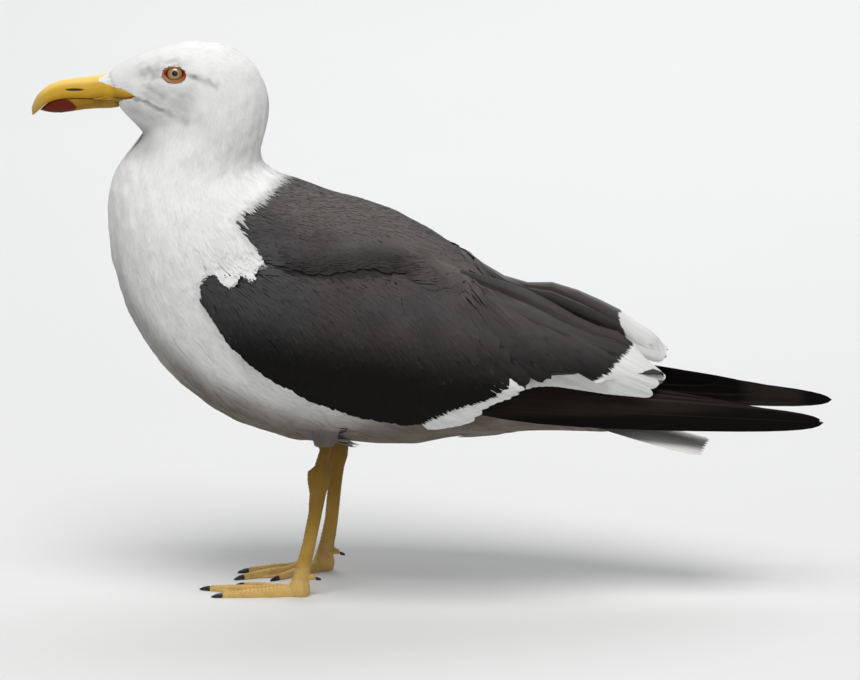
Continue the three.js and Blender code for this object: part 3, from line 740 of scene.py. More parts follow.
def wing_sheet(side, tree):
    """The wing's outer face. Past down 1 it hangs straight on, and before 0 it goes down the inner face."""

    def hanging(x, down):
        held = np.clip(down, 0.0, 1.0)
        below = np.maximum(down - 1.0, 0)[..., None]
        inner = np.maximum(-down, 0)[..., None] * np.array([0, 0, -INNER_FACE * MM])
        last = wing_point(side, x, 1.0 + 0 * down)
        slope = (last - wing_point(side, x, 0.95 + 0 * down)) / 0.05
        return wing_point(side, x, held) + slope * below + inner

    points = with_sunk_crest(grid_of(hanging, WING_LOW, WING_HIGH, WING_CELLS))
    drawn, buried = drawn_to(tree, points, SNAP * MM)
    downs = np.linspace(WING_LOW[1], WING_HIGH[1], WING_CELLS[1] + 1)
    free = (downs < 0) | (downs >= 1)
    drawn[:, free] = points[:, free]
    calm = Sheet(drawn, WING_LOW, WING_HIGH, points * [1, 0, 1], buried, smoothing=3)
    return calm.rippled(lambda place, x: ripple(place, 30, 6) * 0.35)


# The mantle's sheet goes round this height over both shoulders, from one side to the other.
MANTLE_AXIS = 180.0
MANTLE_LOW, MANTLE_HIGH = (-152.0, -1.6), (64.0, 1.6)
MANTLE_CELLS = (170, 140)
# The cleft between the folded wings: where it starts, and its half width as an angle.
CLEFT_START, CLEFT_ANGLE = 8, 0.62


def mantle_sheet(tree):
    """The outermost surface over the back and shoulders, at x in millimetres and an angle from upright."""
    reach = 160 * MM

    def outermost(x, angle):
        found = np.empty((*x.shape, 3))
        for index in np.ndindex(x.shape):
            way = Vector((0, math.sin(angle[index]), math.cos(angle[index])))
            axis = Vector((x[index] * MM, 0, MANTLE_AXIS * MM))
            place = tree.ray_cast(axis + way * reach, -way)[0]
            found[index] = place or axis
        return found

    points = grid_of(outermost, MANTLE_LOW, MANTLE_HIGH, MANTLE_CELLS)
    axis = points * [1, 0, 0] + [0, 0, MANTLE_AXIS * MM]
    # Behind the shoulders the sheet spans the cleft between the two wings, and is smoother.
    x, angles = (np.linspace(MANTLE_LOW[k], MANTLE_HIGH[k], MANTLE_CELLS[k] + 1) for k in range(2))
    radius = np.linalg.norm(points - axis, axis=-1)
    cleft = (x[:, None] > CLEFT_START) & (np.abs(angles) < CLEFT_ANGLE)
    rear = step(x, -6, 20)[:, None]
    for turn in range(260):
        beside = (np.roll(radius, 1, 1) + np.roll(radius, -1, 1)) / 2
        radius = np.where(cleft, np.maximum(radius, beside), radius)
        if turn % 13 == 0:
            around = radius.copy()
            around[1:-1, 1:-1] = (beside[1:-1, 1:-1] * 2 + radius[:-2, 1:-1] + radius[2:, 1:-1]) / 4
            radius += np.maximum(around - radius, 0) * rear
    points = axis + unit(points - axis) * radius[..., None]
    calm = Sheet(points, MANTLE_LOW, MANTLE_HIGH, axis, None, smoothing=4)
    return calm.rippled(lambda place, x: ripple(place, 26, 8) * 0.4)


# The feathered thigh: how far it reaches fore and aft and sideways at each height.
THIGH_DEPTHS = [(93, 5.2), (96, 5.8), (100, 7.4), (106, 8.2), (112, 8.8)]
THIGH_WIDTHS = [(93, 4.8), (96, 5.4), (100, 6.6), (106, 7.2), (112, 7.6)]
THIGH_TOP, THIGH_END = 112.0, 93.0
# How far below the thigh's top its plumes end.
THIGH_REACH = 16.3
# How far the thigh slants back for each unit of height over the place where it meets the shank.
THIGH_SLANT = 0.12
THIGH_KNEE = 96.5


def thigh_sheet(side):
    """The feathered thigh's surface, by the distance below its top and the angle round it."""
    low, high = (0.0, -LAP), (THIGH_TOP - THIGH_END, 2 * math.pi + LAP)

    def point_at(below, angle):
        z = THIGH_TOP - below
        x = THIGH_FOOT[side][0] + THIGH_SLANT * (z - THIGH_KNEE) + line(THIGH_DEPTHS, z) * np.cos(angle)
        y = THIGH_FOOT[side][1] + line(THIGH_WIDTHS, z) * np.sin(angle)
        return np.stack([x, y, z], -1) * MM

    points = grid_of(point_at, low, high, (50, 60))
    return Sheet(points, low, high, points.mean(1, keepdims=True))


# ---------------------------------------------------------------- feathers

# Cross-sections of a feather from the left rim over the top to the right rim, then underneath.
SLIM_SECTION = [(-1.0, 0.0), (0.0, 1.0), (1.0, 0.0)]
BROAD_SECTION = [(-1.0, 0.0), (-0.5, 0.75), (0.0, 1.0), (0.5, 0.75), (1.0, 0.0), (0.0, -0.6)]
VANE_SECTION = [
    (-1.0, 0.0), (-0.62, 0.8), (-0.3, 0.95), (-0.05, 1.0), (0.0, 1.9), (0.05, 1.0), (0.3, 0.95),
    (0.62, 0.8), (1.0, 0.0), (0.5, -0.8), (0.0, -1.2), (-0.5, -0.8),
]

PLUME_SHARES = np.array([0.0, 0.4, 0.76, 1.0])
PLUME_WIDTHS = [0.6, 1.0, 0.62]
COVERT_SHARES = np.array([0.0, 0.22, 0.45, 0.66, 0.82, 0.93, 0.98, 1.0])
COVERT_WIDTHS = [0.4, 0.78, 0.97, 1.0, 0.86, 0.58, 0.3]
# A small feather's piece of the colour map, and the rim left free round a large one's, both as shares.
PATCH = 0.003
PATCH_MARGIN = 0.06


class Feathers:
    """Many feathers of one kind, gathered as arrays and made into one mesh."""

    def __init__(self, name, section, shares, widths, softness=0.9, bend=0.12):
        self.name = name
        self.section = np.array(section)
        self.shares = np.array(shares)
        self.widths = np.array(widths)
        # A feather gets thinner where it gets narrower.
        self.fading = 0.35 + 0.65 * self.widths
        self.softness = softness
        self.bend = bend
        self.gathered = []

    def add(self, midribs, ups, half, thick, cup, patches, marks):
        """Adds feathers: their midribs, the way up at each point, half their width, their thickness,
        how far their rims bend down as a share of the width, and marks that the finish reads."""
        along = np.gradient(midribs, axis=1)
        side = unit(np.cross(along, ups))
        up = unit(np.cross(side, along))
        rings = len(self.widths)
        across, over = self.section[:, 0], self.section[:, 1]
        reach = half[:, None] * self.widths
        thick = np.broadcast_to(thick, half.shape)
        thin = (thick[:, None] * self.fading)[..., None] * over
        drop = cup * reach[:, :, None] * across**2
        ring = (
            midribs[:, :rings, None]
            + side[:, :rings, None] * (reach[:, :, None] * across)[..., None]
            + up[:, :rings, None] * (thin - drop)[..., None]
        )
        face = unit(ups * self.softness + up * (1 - self.softness))
        ring_face = np.repeat(face[:, :rings, None], len(across), 2)
        self.gather(ring, midribs, ring_face, face, side, patches, marks)

    def drape(self, sheet, u, v, height, half, thick, patches, marks):
        """Adds feathers whose vanes follow a sheet at a height over it. u and v place the midribs on it."""
        places, ups, rate_u, rate_v, _ = sheet.read(u, v)
        midribs = places + ups * height[..., None]
        side = unit(np.cross(np.gradient(midribs, axis=1), ups))
        rings = len(self.widths)
        across, over = self.section[:, 0], self.section[:, 1]
        run_u, run_v = np.gradient(u, axis=1) * rate_u, np.gradient(v, axis=1) * rate_v
        run = np.maximum(np.hypot(run_u, run_v), 1e-9)
        reach = (half[:, None] * self.widths)[..., None] * across
        over_u = (sheet.hand * run_v / run / rate_u)[:, :rings, None] * reach
        over_v = (-sheet.hand * run_u / run / rate_v)[:, :rings, None] * reach
        places, normals = sheet.read(u[:, :rings, None] + over_u, v[:, :rings, None] + over_v)[:2]
        thin = (thick * self.fading)[:, None] * over
        drop = 0.45 * MM * np.abs(across) ** 3
        ring = places + normals * (height[:, :rings, None] + thin - drop)[..., None]
        self.gather(ring, midribs, normals, ups, side, patches, marks)

    def gather(self, ring, midribs, ring_face, face, side, patches, marks):
        """Keeps some feathers: their rings of points, the way the rings and the midribs face, and marks."""
        count, rings, sides = ring.shape[:3]
        points = np.concatenate([ring.reshape(count, -1, 3), midribs[:, -1:]], axis=1)
        facing = np.concatenate([ring_face.reshape(count, -1, 3), face[:, -1:]], 1)
        lean = side[:, :rings, None] * (self.section[:, 0] * self.bend)[:, None]
        lean = np.concatenate([lean.reshape(count, -1, 3), 0 * midribs[:, -1:]], 1)
        spread = {}
        for key, value in marks.items():
            value = np.asarray(value(points) if callable(value) else value, float)
            if value.ndim == 1:
                value = np.repeat(value[:, None], rings + 1, 1)
            if value.shape[1] == rings + 1:
                value = np.concatenate([np.repeat(value[:, :rings], sides, 1), value[:, -1:]], 1)
            spread[key] = value
        self.gathered.append((points, facing, lean, patches, spread))

    def finish(self):
        """One mesh of all the feathers, each a closed shell, shaded as softly as the surface they lie on."""
        points, face, lean, patches = (np.concatenate([row[k] for row in self.gathered]) for k in range(4))
        count, each = points.shape[:2]
        rings, sides = len(self.widths), len(self.section)
        right_rim = int(np.argmax(self.section[:, 0]))
        faces, on_top = [], []
        for k in range(sides):
            after = (k + 1) % sides
            for ring in range(rings - 1):
                low, high = ring * sides, (ring + 1) * sides
                faces.append([low + k, low + after, high + after, high + k])
                on_top.append(k < right_rim)
            last = (rings - 1) * sides
            faces.append([last + k, last + after, each - 1])
            on_top.append(k < right_rim)
        faces.append(list(range(sides))[::-1])
        on_top.append(True)
        sizes = np.array([len(corners) for corners in faces])
        corners = np.concatenate([np.array(row) for row in faces])
        turned = np.repeat(np.where(on_top, 1.0, -1.0), sizes)
        loops = (corners[None] + (np.arange(count) * each)[:, None]).ravel()
        starts = np.concatenate([[0], np.cumsum(np.tile(sizes, count))[:-1]])
        mesh = bpy.data.meshes.new(self.name)
        mesh.vertices.add(count * each)
        mesh.vertices.foreach_set("co", points.astype(np.float32).ravel())
        mesh.loops.add(len(loops))
        mesh.loops.foreach_set("vertex_index", loops.astype(np.int32))
        mesh.polygons.add(len(starts))
        mesh.polygons.foreach_set("loop_start", starts.astype(np.int32))
        mesh.update(calc_edges=True)

        across = np.concatenate([np.tile(self.section[:, 0], rings), [0.0]])
        along = np.concatenate([np.repeat(self.shares[:rings], sides), [1.0]])
        vane = np.stack([across * 0.5 + 0.5, along], -1)[corners]
        # A patch is the lower corner and the size of the feather's own piece of the colour map.
        bake = patches[:, None, :2] + vane[None] * patches[:, None, 2:]
        for name, uv in (("vane", np.tile(vane, (count, 1))), ("OFBake", bake)):
            mesh.uv_layers.new(name=name).data.foreach_set("uv", uv.astype(np.float32).ravel())
        normals = unit(face[:, corners] * turned[None, :, None] + lean[:, corners])
        # The cap at the root faces back along the feather.
        back = points[:, :sides].mean(1) - points[:, sides:2 * sides].mean(1)
        normals[:, -sides:] = unit(back)[:, None]
        # The rims and the root's cap are sharp edges, so the top and the underside are shaded apart.
        ends = np.empty(len(mesh.edges) * 2, np.int32)
        mesh.edges.foreach_get("vertices", ends)
        ring, place = np.divmod(ends.reshape(-1, 2) % each, sides)
        on_rim = (place == 0) | (place == right_rim) | (ring == rings)
        along_rim = on_rim.all(1) & ((place[:, 0] == place[:, 1]) | (ring == rings).any(1))
        sharp = along_rim | (ring == 0).all(1)
        mesh.attributes.new("sharp_edge", "BOOLEAN", "EDGE").data.foreach_set("value", sharp)
        shading = mesh.attributes.new("custom_normal", "FLOAT_VECTOR", "CORNER")
        shading.data.foreach_set("vector", normals.astype(np.float32).ravel())

        piece = bpy.data.objects.new(self.name, mesh)
        bpy.context.scene.collection.objects.link(piece)
        for key in self.gathered[0][4]:
            write_mark(piece, key, np.concatenate([row[4][key] for row in self.gathered]))
        return piece


def small_patches(u, v):
    """Patches about 0.003 across, at each root's place on the unwrapped skin."""
    u = np.clip(u, 0, 1) * (1 - PATCH)
    v = np.clip(v, 0, 1) * (1 - PATCH)
    return np.stack([u, v, np.full_like(u, PATCH), np.full_like(u, PATCH)], -1)


def sheet_places(sheet, u, v):
    """Small patches at the roots' places on a whole sheet."""
    share_u, share_v = ((at - sheet.low[k]) / (sheet.high[k] - sheet.low[k]) for k, at in enumerate((u, v)))
    return small_patches(share_u, share_v)


def sheet_patches(count, columns):
    """Patches side by side in a grid, for large feathers."""
    rows = math.ceil(count / columns)
    index = np.arange(count)
    wide, tall = 1 / columns, 1 / rows
    u = (index % columns + PATCH_MARGIN) * wide
    v = (index // columns + PATCH_MARGIN) * tall
    inner = 1 - 2 * PATCH_MARGIN
    return np.stack([u, v, np.full(count, wide * inner), np.full(count, tall * inner)], -1)


def scatter(sheet, low, high, spacing, draws, cells=(160, 160)):
    """Even random places on a sheet: one for each cube of the spacing that the sheet passes through."""
    edges = [np.linspace(low[k], high[k], cells[k] + 1) for k in range(2)]
    pitch = [edge[1] - edge[0] for edge in edges]
    middle = np.meshgrid(*[edge[:-1] + size / 2 for edge, size in zip(edges, pitch)], indexing="ij")
    _, _, rate_u, rate_v, _ = sheet.read(*middle)
    gap = np.broadcast_to(spacing(*middle), rate_u.shape).ravel() * MM
    weight = (rate_u * pitch[0] * rate_v * pitch[1]).ravel() / gap**2
    tries = int(weight.sum() * 5)
    chosen = draws.choice(len(weight), size=tries, p=weight / weight.sum())
    i, j = np.divmod(chosen, cells[1])
    u = edges[0][i] + draws.random(tries) * pitch[0]
    v = edges[1][j] + draws.random(tries) * pitch[1]
    cube = np.floor(sheet.read(u, v)[0] / gap[chosen][:, None]).astype(np.int64)
    band = np.round(np.log(gap[chosen] / MM) * 6).astype(np.int64)
    key = cube @ np.array([1, 4096, 4096**2]) + band * 4096**3
    _, first = np.unique(key, return_index=True)
    first.sort()
    return u[first], v[first]


def lay(sheet, u, v, angle, length, shares, rise, warp=None):
    """Midribs from roots at u and v, each at its own angle from the sheet's u towards its v."""
    _, _, rate_u, rate_v, _ = sheet.read(u, v)
    travel = length[:, None] * shares
    path_u = u[:, None] + travel * (np.cos(angle) / rate_u)[:, None]
    path_v = v[:, None] + travel * (np.sin(angle) / rate_v)[:, None]
    if warp:
        path_u, path_v = warp(path_u, path_v)
    points, ups = sheet.read(path_u, path_v)[:2]
    return points + ups * rise[..., None], ups


def cut_short(length, roots, tips, edge, least):
    """Lengths less what hangs below the heights of an edge, down to a least share of each."""
    room = (roots[:, 2] - edge) / np.maximum(roots[:, 2] - tips[:, 2], 0.1 * MM)
    return np.where(tips[:, 2] < edge, length * np.clip(room, least, 1), length)


def rising(sink, lift, shares, power=0.5):
    """Heights from under the surface at the root to over it at the tip, steepest near the root."""
    return -sink[:, None] + (sink + lift)[:, None] * shares**power


# ---------------------------------------------------------------- the white coat

# Length, width and spacing of the body's plumes by station.
LENGTHS = [(0, 2.0), (2, 3.4), (4, 5.2), (6, 7.0), (8, 9.5), (10.6, 13), (13, 16), (16, 19), (19, 22),
           (21, 24)]
WIDTHS = [(0, 0.55), (2, 0.75), (4, 0.95), (6, 1.15), (8, 1.5), (10.6, 2.0), (13, 2.5), (16, 3.0),
          (21, 3.8)]
SPACINGS = [(0, 0.62), (2, 0.78), (4, 0.92), (6, 1.08), (8, 1.35), (10.6, 1.7), (13, 2.1), (16, 2.5),
            (21, 3.2)]
# Plumes whose roots lie deeper than this under other parts are left out.
BURIED = 1.8
# The lower back between the wings, which has dark plumes only: from and to x, and over the height z.
DARK_FROM, DARK_TO, DARK_OVER = 8, 90, 166
# How far outside the lids the white plumes begin, as a share of the lids' size.
EYE_CLEARANCE = 1.03
# How far forward the feathers of the face reach at each height: x at each z.
FACE_EDGE = [(270, -260), (279, -230), (285, -190), (292, -189), (301, -192.6), (306, -192.2), (308, -189),
             (309.7, -183.2), (310.9, -181.5), (312.4, -185.7), (313.9, -187.6), (315.2, -197.2),
             (317.6, -205.5), (319.5, -204.5), (321, -200.5), (323, -198.5)]


def is_feathered(points):
    """True where the face has feathers, not the bill or the bare corner of the mouth."""
    x, y, z = axes_of(points)
    return (x > line(FACE_EDGE, z)) | ((z < 306) & (np.abs(y) < 2) & (x > -190))


def eye_parting(sheet):
    """How the plumes part round both eyes, as water round a stone, in the body sheet's own measures."""
    station, turn = np.meshgrid(np.linspace(3, 6, 121), np.linspace(0.3, 2.2, 121), indexing="ij")
    points, _, rate_u, rate_v, _ = sheet.read(station, turn)
    nearest = np.argmin(np.linalg.norm(points[..., (0, 2)] / MM - LID_CENTRE, axis=-1))
    centre = np.array([station.flat[nearest], turn.flat[nearest]])
    size = np.array([LID_SIZE[0] * MM / rate_u.flat[nearest], LID_SIZE[1] * MM / rate_v.flat[nearest]])

    def part(u, v):
        for middle in (centre[1], 2 * math.pi - centre[1]):
            across, down = (u - centre[0]) / size[0], (v - middle) / size[1]
            away = np.maximum(np.hypot(across, down), 0.05)
            push = (away**3 + 1) ** (1 / 3) / away
            u, v = centre[0] + across * push * size[0], middle + down * push * size[1]
        return u, v

    return part


# The grey of the white plumes at the dark border: how far forward it reaches and how strong it is, by z.
SHADE_REACH = [(205, 2), (225, 4), (240, 6), (250, 10)]
SHADE_STRENGTH = [(203, 0), (214, 0.35), (240, 0.5), (252, 0.9)]


def border_shade(points):
    """Grey of the white plumes that lie over the front of the dark back."""
    x, _, z = axes_of(points)
    over = step(x - line(MANTLE_BORDER, z), -line(SHADE_REACH, z), 3)
    return line(SHADE_STRENGTH, z) * over


def white_marks(midribs, draws):
    """Marks of the white feathers: tone in clumps and by chance, painted shade with the grey at the dark
    border, and staining with painted shade.
    """
    roots = midribs[:, 0]
    clump = 0.5 + 0.32 * ripple(roots * [1, 1, 0.7], 9, 14) + 0.2 * ripple(roots * [1, 1, 0.7], 22, 15)
    return {"tone": np.clip(clump + 0.25 * draws.normal(size=len(roots)), 0, 1),
            "grey": np.maximum(painted_shade_of(midribs), border_shade(midribs)), "soil_and_shade": soil_and_shade_of(midribs)}


def eye_reach(points):
    """How far points are from the middle of the lids, as a share of their size, seen from the side."""
    offset = points[..., (0, 2)] / MM - LID_CENTRE
    return np.hypot(offset[..., 0] / LID_SIZE[0], offset[..., 1] / LID_SIZE[1])


def white_piece(name, midribs, ups, half, patches, marks, softness=0.9):
    """One piece of white plumes, from where they lie and half the width of each."""
    coat = Feathers(name, SLIM_SECTION, PLUME_SHARES, PLUME_WIDTHS, softness)
    coat.add(midribs, ups, half, half * 0.1, 0.06, patches, marks)
    return coat.finish()


def white_coat(name, sheet, start, end, seed, part):
    """The white feathers of one stretch of the body."""
    draws = np.random.default_rng(seed)
    station, turn = scatter(
        sheet, (start, 0.0), (end, 2 * math.pi), lambda s, t: line(SPACINGS, s), draws)
    roots, _, rate, _, buried = sheet.read(station, turn)
    # A plume is white up to the border by its tip, not by its root.
    tips = sheet.read(station + 0.8 * line(LENGTHS, station) * MM / rate, turn)[0]
    ragged = tips - np.array([1, 0, 0]) * (ripple(roots, 9, seed) * 0.9 * MM)[:, None]
    x, _, z = tips.T / MM
    lower_back = (x > DARK_FROM) & (x < DARK_TO) & (z > DARK_OVER)
    dark = is_slate(ragged) | is_slate(roots) | lower_back
    keep = (buried < BURIED * MM) & ~dark & is_feathered(roots)
    station, turn, roots = station[keep], turn[keep], roots[keep]
    count = len(roots)
    angle = 0.16 * ripple(roots, 30, 2) + 0.12 * ripple(roots, 9, 5) + 0.07 * draws.normal(size=count)
    length = line(LENGTHS, station) * MM * draws.uniform(0.8, 1.2, count)
    half = line(WIDTHS, station) * MM * 0.5 * draws.uniform(0.85, 1.15, count)
    # The first plumes lie on the horn of the bill; farther back the roots are sunk in the coat.
    by_bill = step(station, 3.0, 1.0)
    lift = length * draws.uniform(0.010, 0.024, count) + 0.3 * MM * by_bill
    sink = length * 0.05 * (1 - by_bill) - 0.15 * MM * by_bill
    midribs, ups = lay(sheet, station, turn, angle, length, PLUME_SHARES,
                       rising(sink, lift, PLUME_SHARES), part)
    patches = small_patches((station - start) / (end - start), turn / (2 * math.pi))
    marks = white_marks(midribs, draws)
    # The middle of the face is as near the eyes as the cheeks, seen from the side.
    clear = (eye_reach(midribs).min(axis=1) > EYE_CLEARANCE) | (np.abs(midribs[:, 0, 1]) < 8 * MM)
    marks = {key: value[clear] for key, value in marks.items()}
    return white_piece(name, midribs[clear], ups[clear], half[clear], patches[clear], marks, 0.8)


def thigh_coat(name, side, seed):
    """The plumes of one thigh, which hang to the top of the shank."""
    draws = np.random.default_rng(seed)
    sheet = thigh_sheet(side)
    below, angle = scatter(sheet, (0.0, 0.0), (14.0, 2 * math.pi), lambda u, v: 1.05, draws, (40, 60))
    length = draws.uniform(5.0, 7.5, len(below)) * MM
    length = np.minimum(length, (THIGH_REACH - draws.uniform(0, 1.4, len(below)) - below) * MM)
    lean = 0.12 * draws.normal(size=len(below))
    lift = length * draws.uniform(0.012, 0.03, len(below))
    midribs, ups = lay(sheet, below, angle, lean, length, PLUME_SHARES,
                       rising(length * 0.06, lift, PLUME_SHARES))
    half = draws.uniform(0.55, 0.8, len(below)) * MM
    patches = small_patches(below / (THIGH_TOP - THIGH_END), angle / (2 * math.pi))
    return white_piece(name, midribs, ups, half, patches, white_marks(midribs, draws))


# ---------------------------------------------------------------- the dark back


def dark_and_shade_of(points):
    """Painted shade: the black low on the wing, partly the feathers' own darker colour, and the dark band
    just above the scapulars' lower edge.
    """
    x, _, z = axes_of(points)
    over = z - line(SCAPULAR_EDGE, x)
    edge = 0.62 * step(over, 17, 3) * step(over, -1.5, 0.5) * step(x, -100, -86) * step(x, 0, -30)
    return np.maximum(step(z + 0.12 * x, 192, 149), edge)


def dark_marks(points, draws):
    """Marks of the dark feathers: tone in soft clouds and by chance, hue, the black parts with painted
    shade, and painted light along the back.
    """
    x, _, z = axes_of(points)
    tone = 0.5 + 0.3 * ripple(points * [0.6, 1, 0.8], 16, 4) + 0.14 * draws.normal(size=len(points))
    hue = np.clip(0.5 + 0.5 * ripple(points, 34, 17) + step(x, -70, -110), 0, 1)
    return {"tone": np.clip(tone, 0, 1), "cloud": hue, "dark_and_shade": dark_and_shade_of(points),
            "painted_skylight": step(z - line(MANTLE_CREST, x), -26, -4) * step(z, 190, 200)}


def proud_of_wing(x, z):
    """How far the scapulars stand out over the wing."""
    over = z - line(SCAPULAR_EDGE, x)
    return 2.6 * step(over, 22, 5) * step(x, -106, -92) * (1 - 0.85 * step(x, -6, 20))


# The line of the lower back, which no small feather of the right side rises above: height z at each x.
BACK_LINE = [(8, 260), (10, 219.5), (23.6, 209.5), (37.8, 200.5), (49.6, 193.5), (70, 186)]
# Both kinds of small dark feathers: section, shares, widths, and thickness.
SLIM_KIND = (SLIM_SECTION, PLUME_SHARES, PLUME_WIDTHS, 0.08)
BROAD_KIND = (BROAD_SECTION, COVERT_SHARES, COVERT_WIDTHS, 0.15)
# Half the width of a slim plume for each unit of length, and how far both kinds curve over their width.
SLIM_HALF = 0.07
SMALL_CUP = 0.08


def under_back(midribs):
    """True for the feathers that keep below the line of the lower back."""
    x, y, z = axes_of(midribs)
    return ((z + 0.2 * y < line(BACK_LINE, x)) | (y < 4) | (x > BACK_LINE[-1][0])).all(axis=1)


def dark_coat(name, kind, laid, half, patches, marks):
    """One piece of small dark feathers, without those that would stand up over the lower back."""
    section, shares, widths, thick = kind
    midribs, ups = laid
    kept = under_back(midribs)
    marks = {key: value[kept] for key, value in marks.items()}
    coat = Feathers(name, section, shares, widths)
    coat.add(midribs[kept], ups[kept], half[kept], thick * MM, SMALL_CUP, patches[kept], marks)
    return coat.finish()


def mantle_feathers(sheet, draws, gap, lengths, slim):
    """Roots, angles and lengths of the dark feathers of the back."""
    x, angle = scatter(sheet, (-121, -1.56), (54, 1.56), lambda a, b: gap, draws)
    roots = sheet.read(x, angle)[0]
    over = roots[:, 2] / MM - line(SCAPULAR_EDGE, x)
    ragged = roots + np.array([1, 0, 0]) * ((1.5 - 0.8 * ripple(roots, 9, 7)) * MM)[:, None]
    between = (x > 20) & (x < 45) & (np.abs(angle) < 0.45)
    keep = (is_slate(ragged) & (over > 1) & (x < 45)) | between
    x, angle, roots = x[keep], angle[keep], roots[keep]
    flank = step(np.abs(angle), 0.15, 0.9)
    slope = np.radians(6 + 22 * flank * step(over[keep], 4, 20)) + 0.09 * draws.normal(size=len(x))
    slope *= np.sign(angle)
    length = np.interp(x, [-120, -60, 0, 40], lengths) * MM * draws.uniform(0.85, 1.15, len(x))
    for _ in range(3):
        rate = sheet.read(x, angle)[3]
        tips = sheet.read(x + length * np.cos(slope) / MM, angle + length * np.sin(slope) / rate)[0]
        edge = (line(SCAPULAR_EDGE, tips[:, 0] / MM) + 1.2 * ripple(tips, 16, 5)) * MM
        edge -= draws.uniform(-1.5, 2.0, len(x)) * MM
        length = np.where(np.abs(angle) > 0.4, cut_short(length, roots, tips, edge, 0.3), length)
    # The scapulars end before the tertials. Only the slim plumes between the wings reach farther back.
    reach = np.where((np.abs(angle) < 0.45) & slim, 43, 30)
    length = np.minimum(length, np.maximum(reach - x, 0) * MM)
    keep = length > (2.5 if slim else 5) * MM
    return x[keep], angle[keep], roots[keep], slope[keep], length[keep]


def mantle_coat(name, sheet, seed, slim):
    """The dark mantle and scapulars: broad feathers, or the slim plumes over them."""
    draws = np.random.default_rng(seed)
    gap, lengths = (1.9, (7, 9, 12, 13)) if slim else (5.0, (12, 17, 23, 28))
    x, angle, roots, slope, length = mantle_feathers(sheet, draws, gap, lengths, slim)
    kind = SLIM_KIND if slim else BROAD_KIND
    proud = proud_of_wing(x, roots[:, 2] / MM) * MM
    loose = draws.uniform(0.3, 0.45, len(x)) * MM * (1.6 if slim else 0.7)
    lift = proud + loose * (1 - 0.5 * step(x, 5, 22))
    sink = (0.25 * MM if slim else 0.05 * length) - proud * 0.9
    laid = lay(sheet, x, angle, slope, length, kind[1], rising(sink, lift, kind[1], 0.7))
    patches = sheet_places(sheet, x, angle)
    half = length * (SLIM_HALF if slim else 0.25)
    return dark_coat(name, kind, laid, half, patches, dark_marks(roots, draws))


# The ragged edge of the white plumes that hang over the bend of the wing: height z at each x.
BEND_EDGE = [(-150, 215), (-139, 214), (-136, 215.5), (-133.5, 206.5), (-126, 208.5), (-123, 202),
             (-119, 200), (-114, 202), (-111.5, 209.5), (-108.5, 207), (-104.5, 202), (-101, 212),
             (-97, 214), (-93, 222)]


def bend_plumes(name, sheet, side, seed):
    """White plumes of the shoulder, which hang raggedly over the front of the folded wing."""
    draws = np.random.default_rng(seed)
    x, angle = scatter(sheet, (-150, 0.15), (-90, 1.5), lambda a, b: 1.2, draws, (60, 80))
    roots = sheet.read(x, side * angle)[0]
    z = roots[:, 2] / MM
    over = z - line(BEND_EDGE, x)
    # Only the band over the wing's bend needs them: elsewhere the body's own coat lies there.
    keep = (over > 2) & (z < 232) & (x < line(MANTLE_BORDER, z) + 1) & (z > 199) & (x > -138)
    x, angle, roots = x[keep], angle[keep], roots[keep]
    slope = np.radians(62) + 0.12 * draws.normal(size=len(x)) + 0.1 * ripple(roots, 18, 12)
    length = draws.uniform(11, 16, len(x)) * MM
    for _ in range(3):
        rate = sheet.read(x, side * angle)[3]
        tip_angle = angle + length * np.sin(slope) / rate
        tips = sheet.read(x + length * np.cos(slope) / MM, side * tip_angle)[0]
        edge = (line(BEND_EDGE, tips[:, 0] / MM) + draws.uniform(-1.2, 1.2, len(x))) * MM
        length = cut_short(length, roots, tips, edge, 0.2)
    keep = length > 2.5 * MM
    x, angle, slope, length = x[keep], angle[keep], slope[keep], length[keep]
    lift = draws.uniform(1.3, 2.1, len(x)) * MM
    midribs, ups = lay(sheet, x, side * angle, side * slope, length, PLUME_SHARES,
                       rising(0.03 * length, lift, PLUME_SHARES))
    half = draws.uniform(0.8, 1.2, len(x)) * MM
    patches = sheet_places(sheet, x, side * angle)
    return white_piece(name, midribs, ups, half, patches, white_marks(midribs, draws))


# ---------------------------------------------------------------- wings

# How steeply the coverts point down, in degrees, at each x, and where they end above and below.
COVERT_SLOPE = [(-138, 34), (-60, 40), (0, 44), (40, 42), (80, 33), (147, 26)]
COVERT_END = [(0, 26), (0.35, 30), (0.7, 42), (1, 60)]


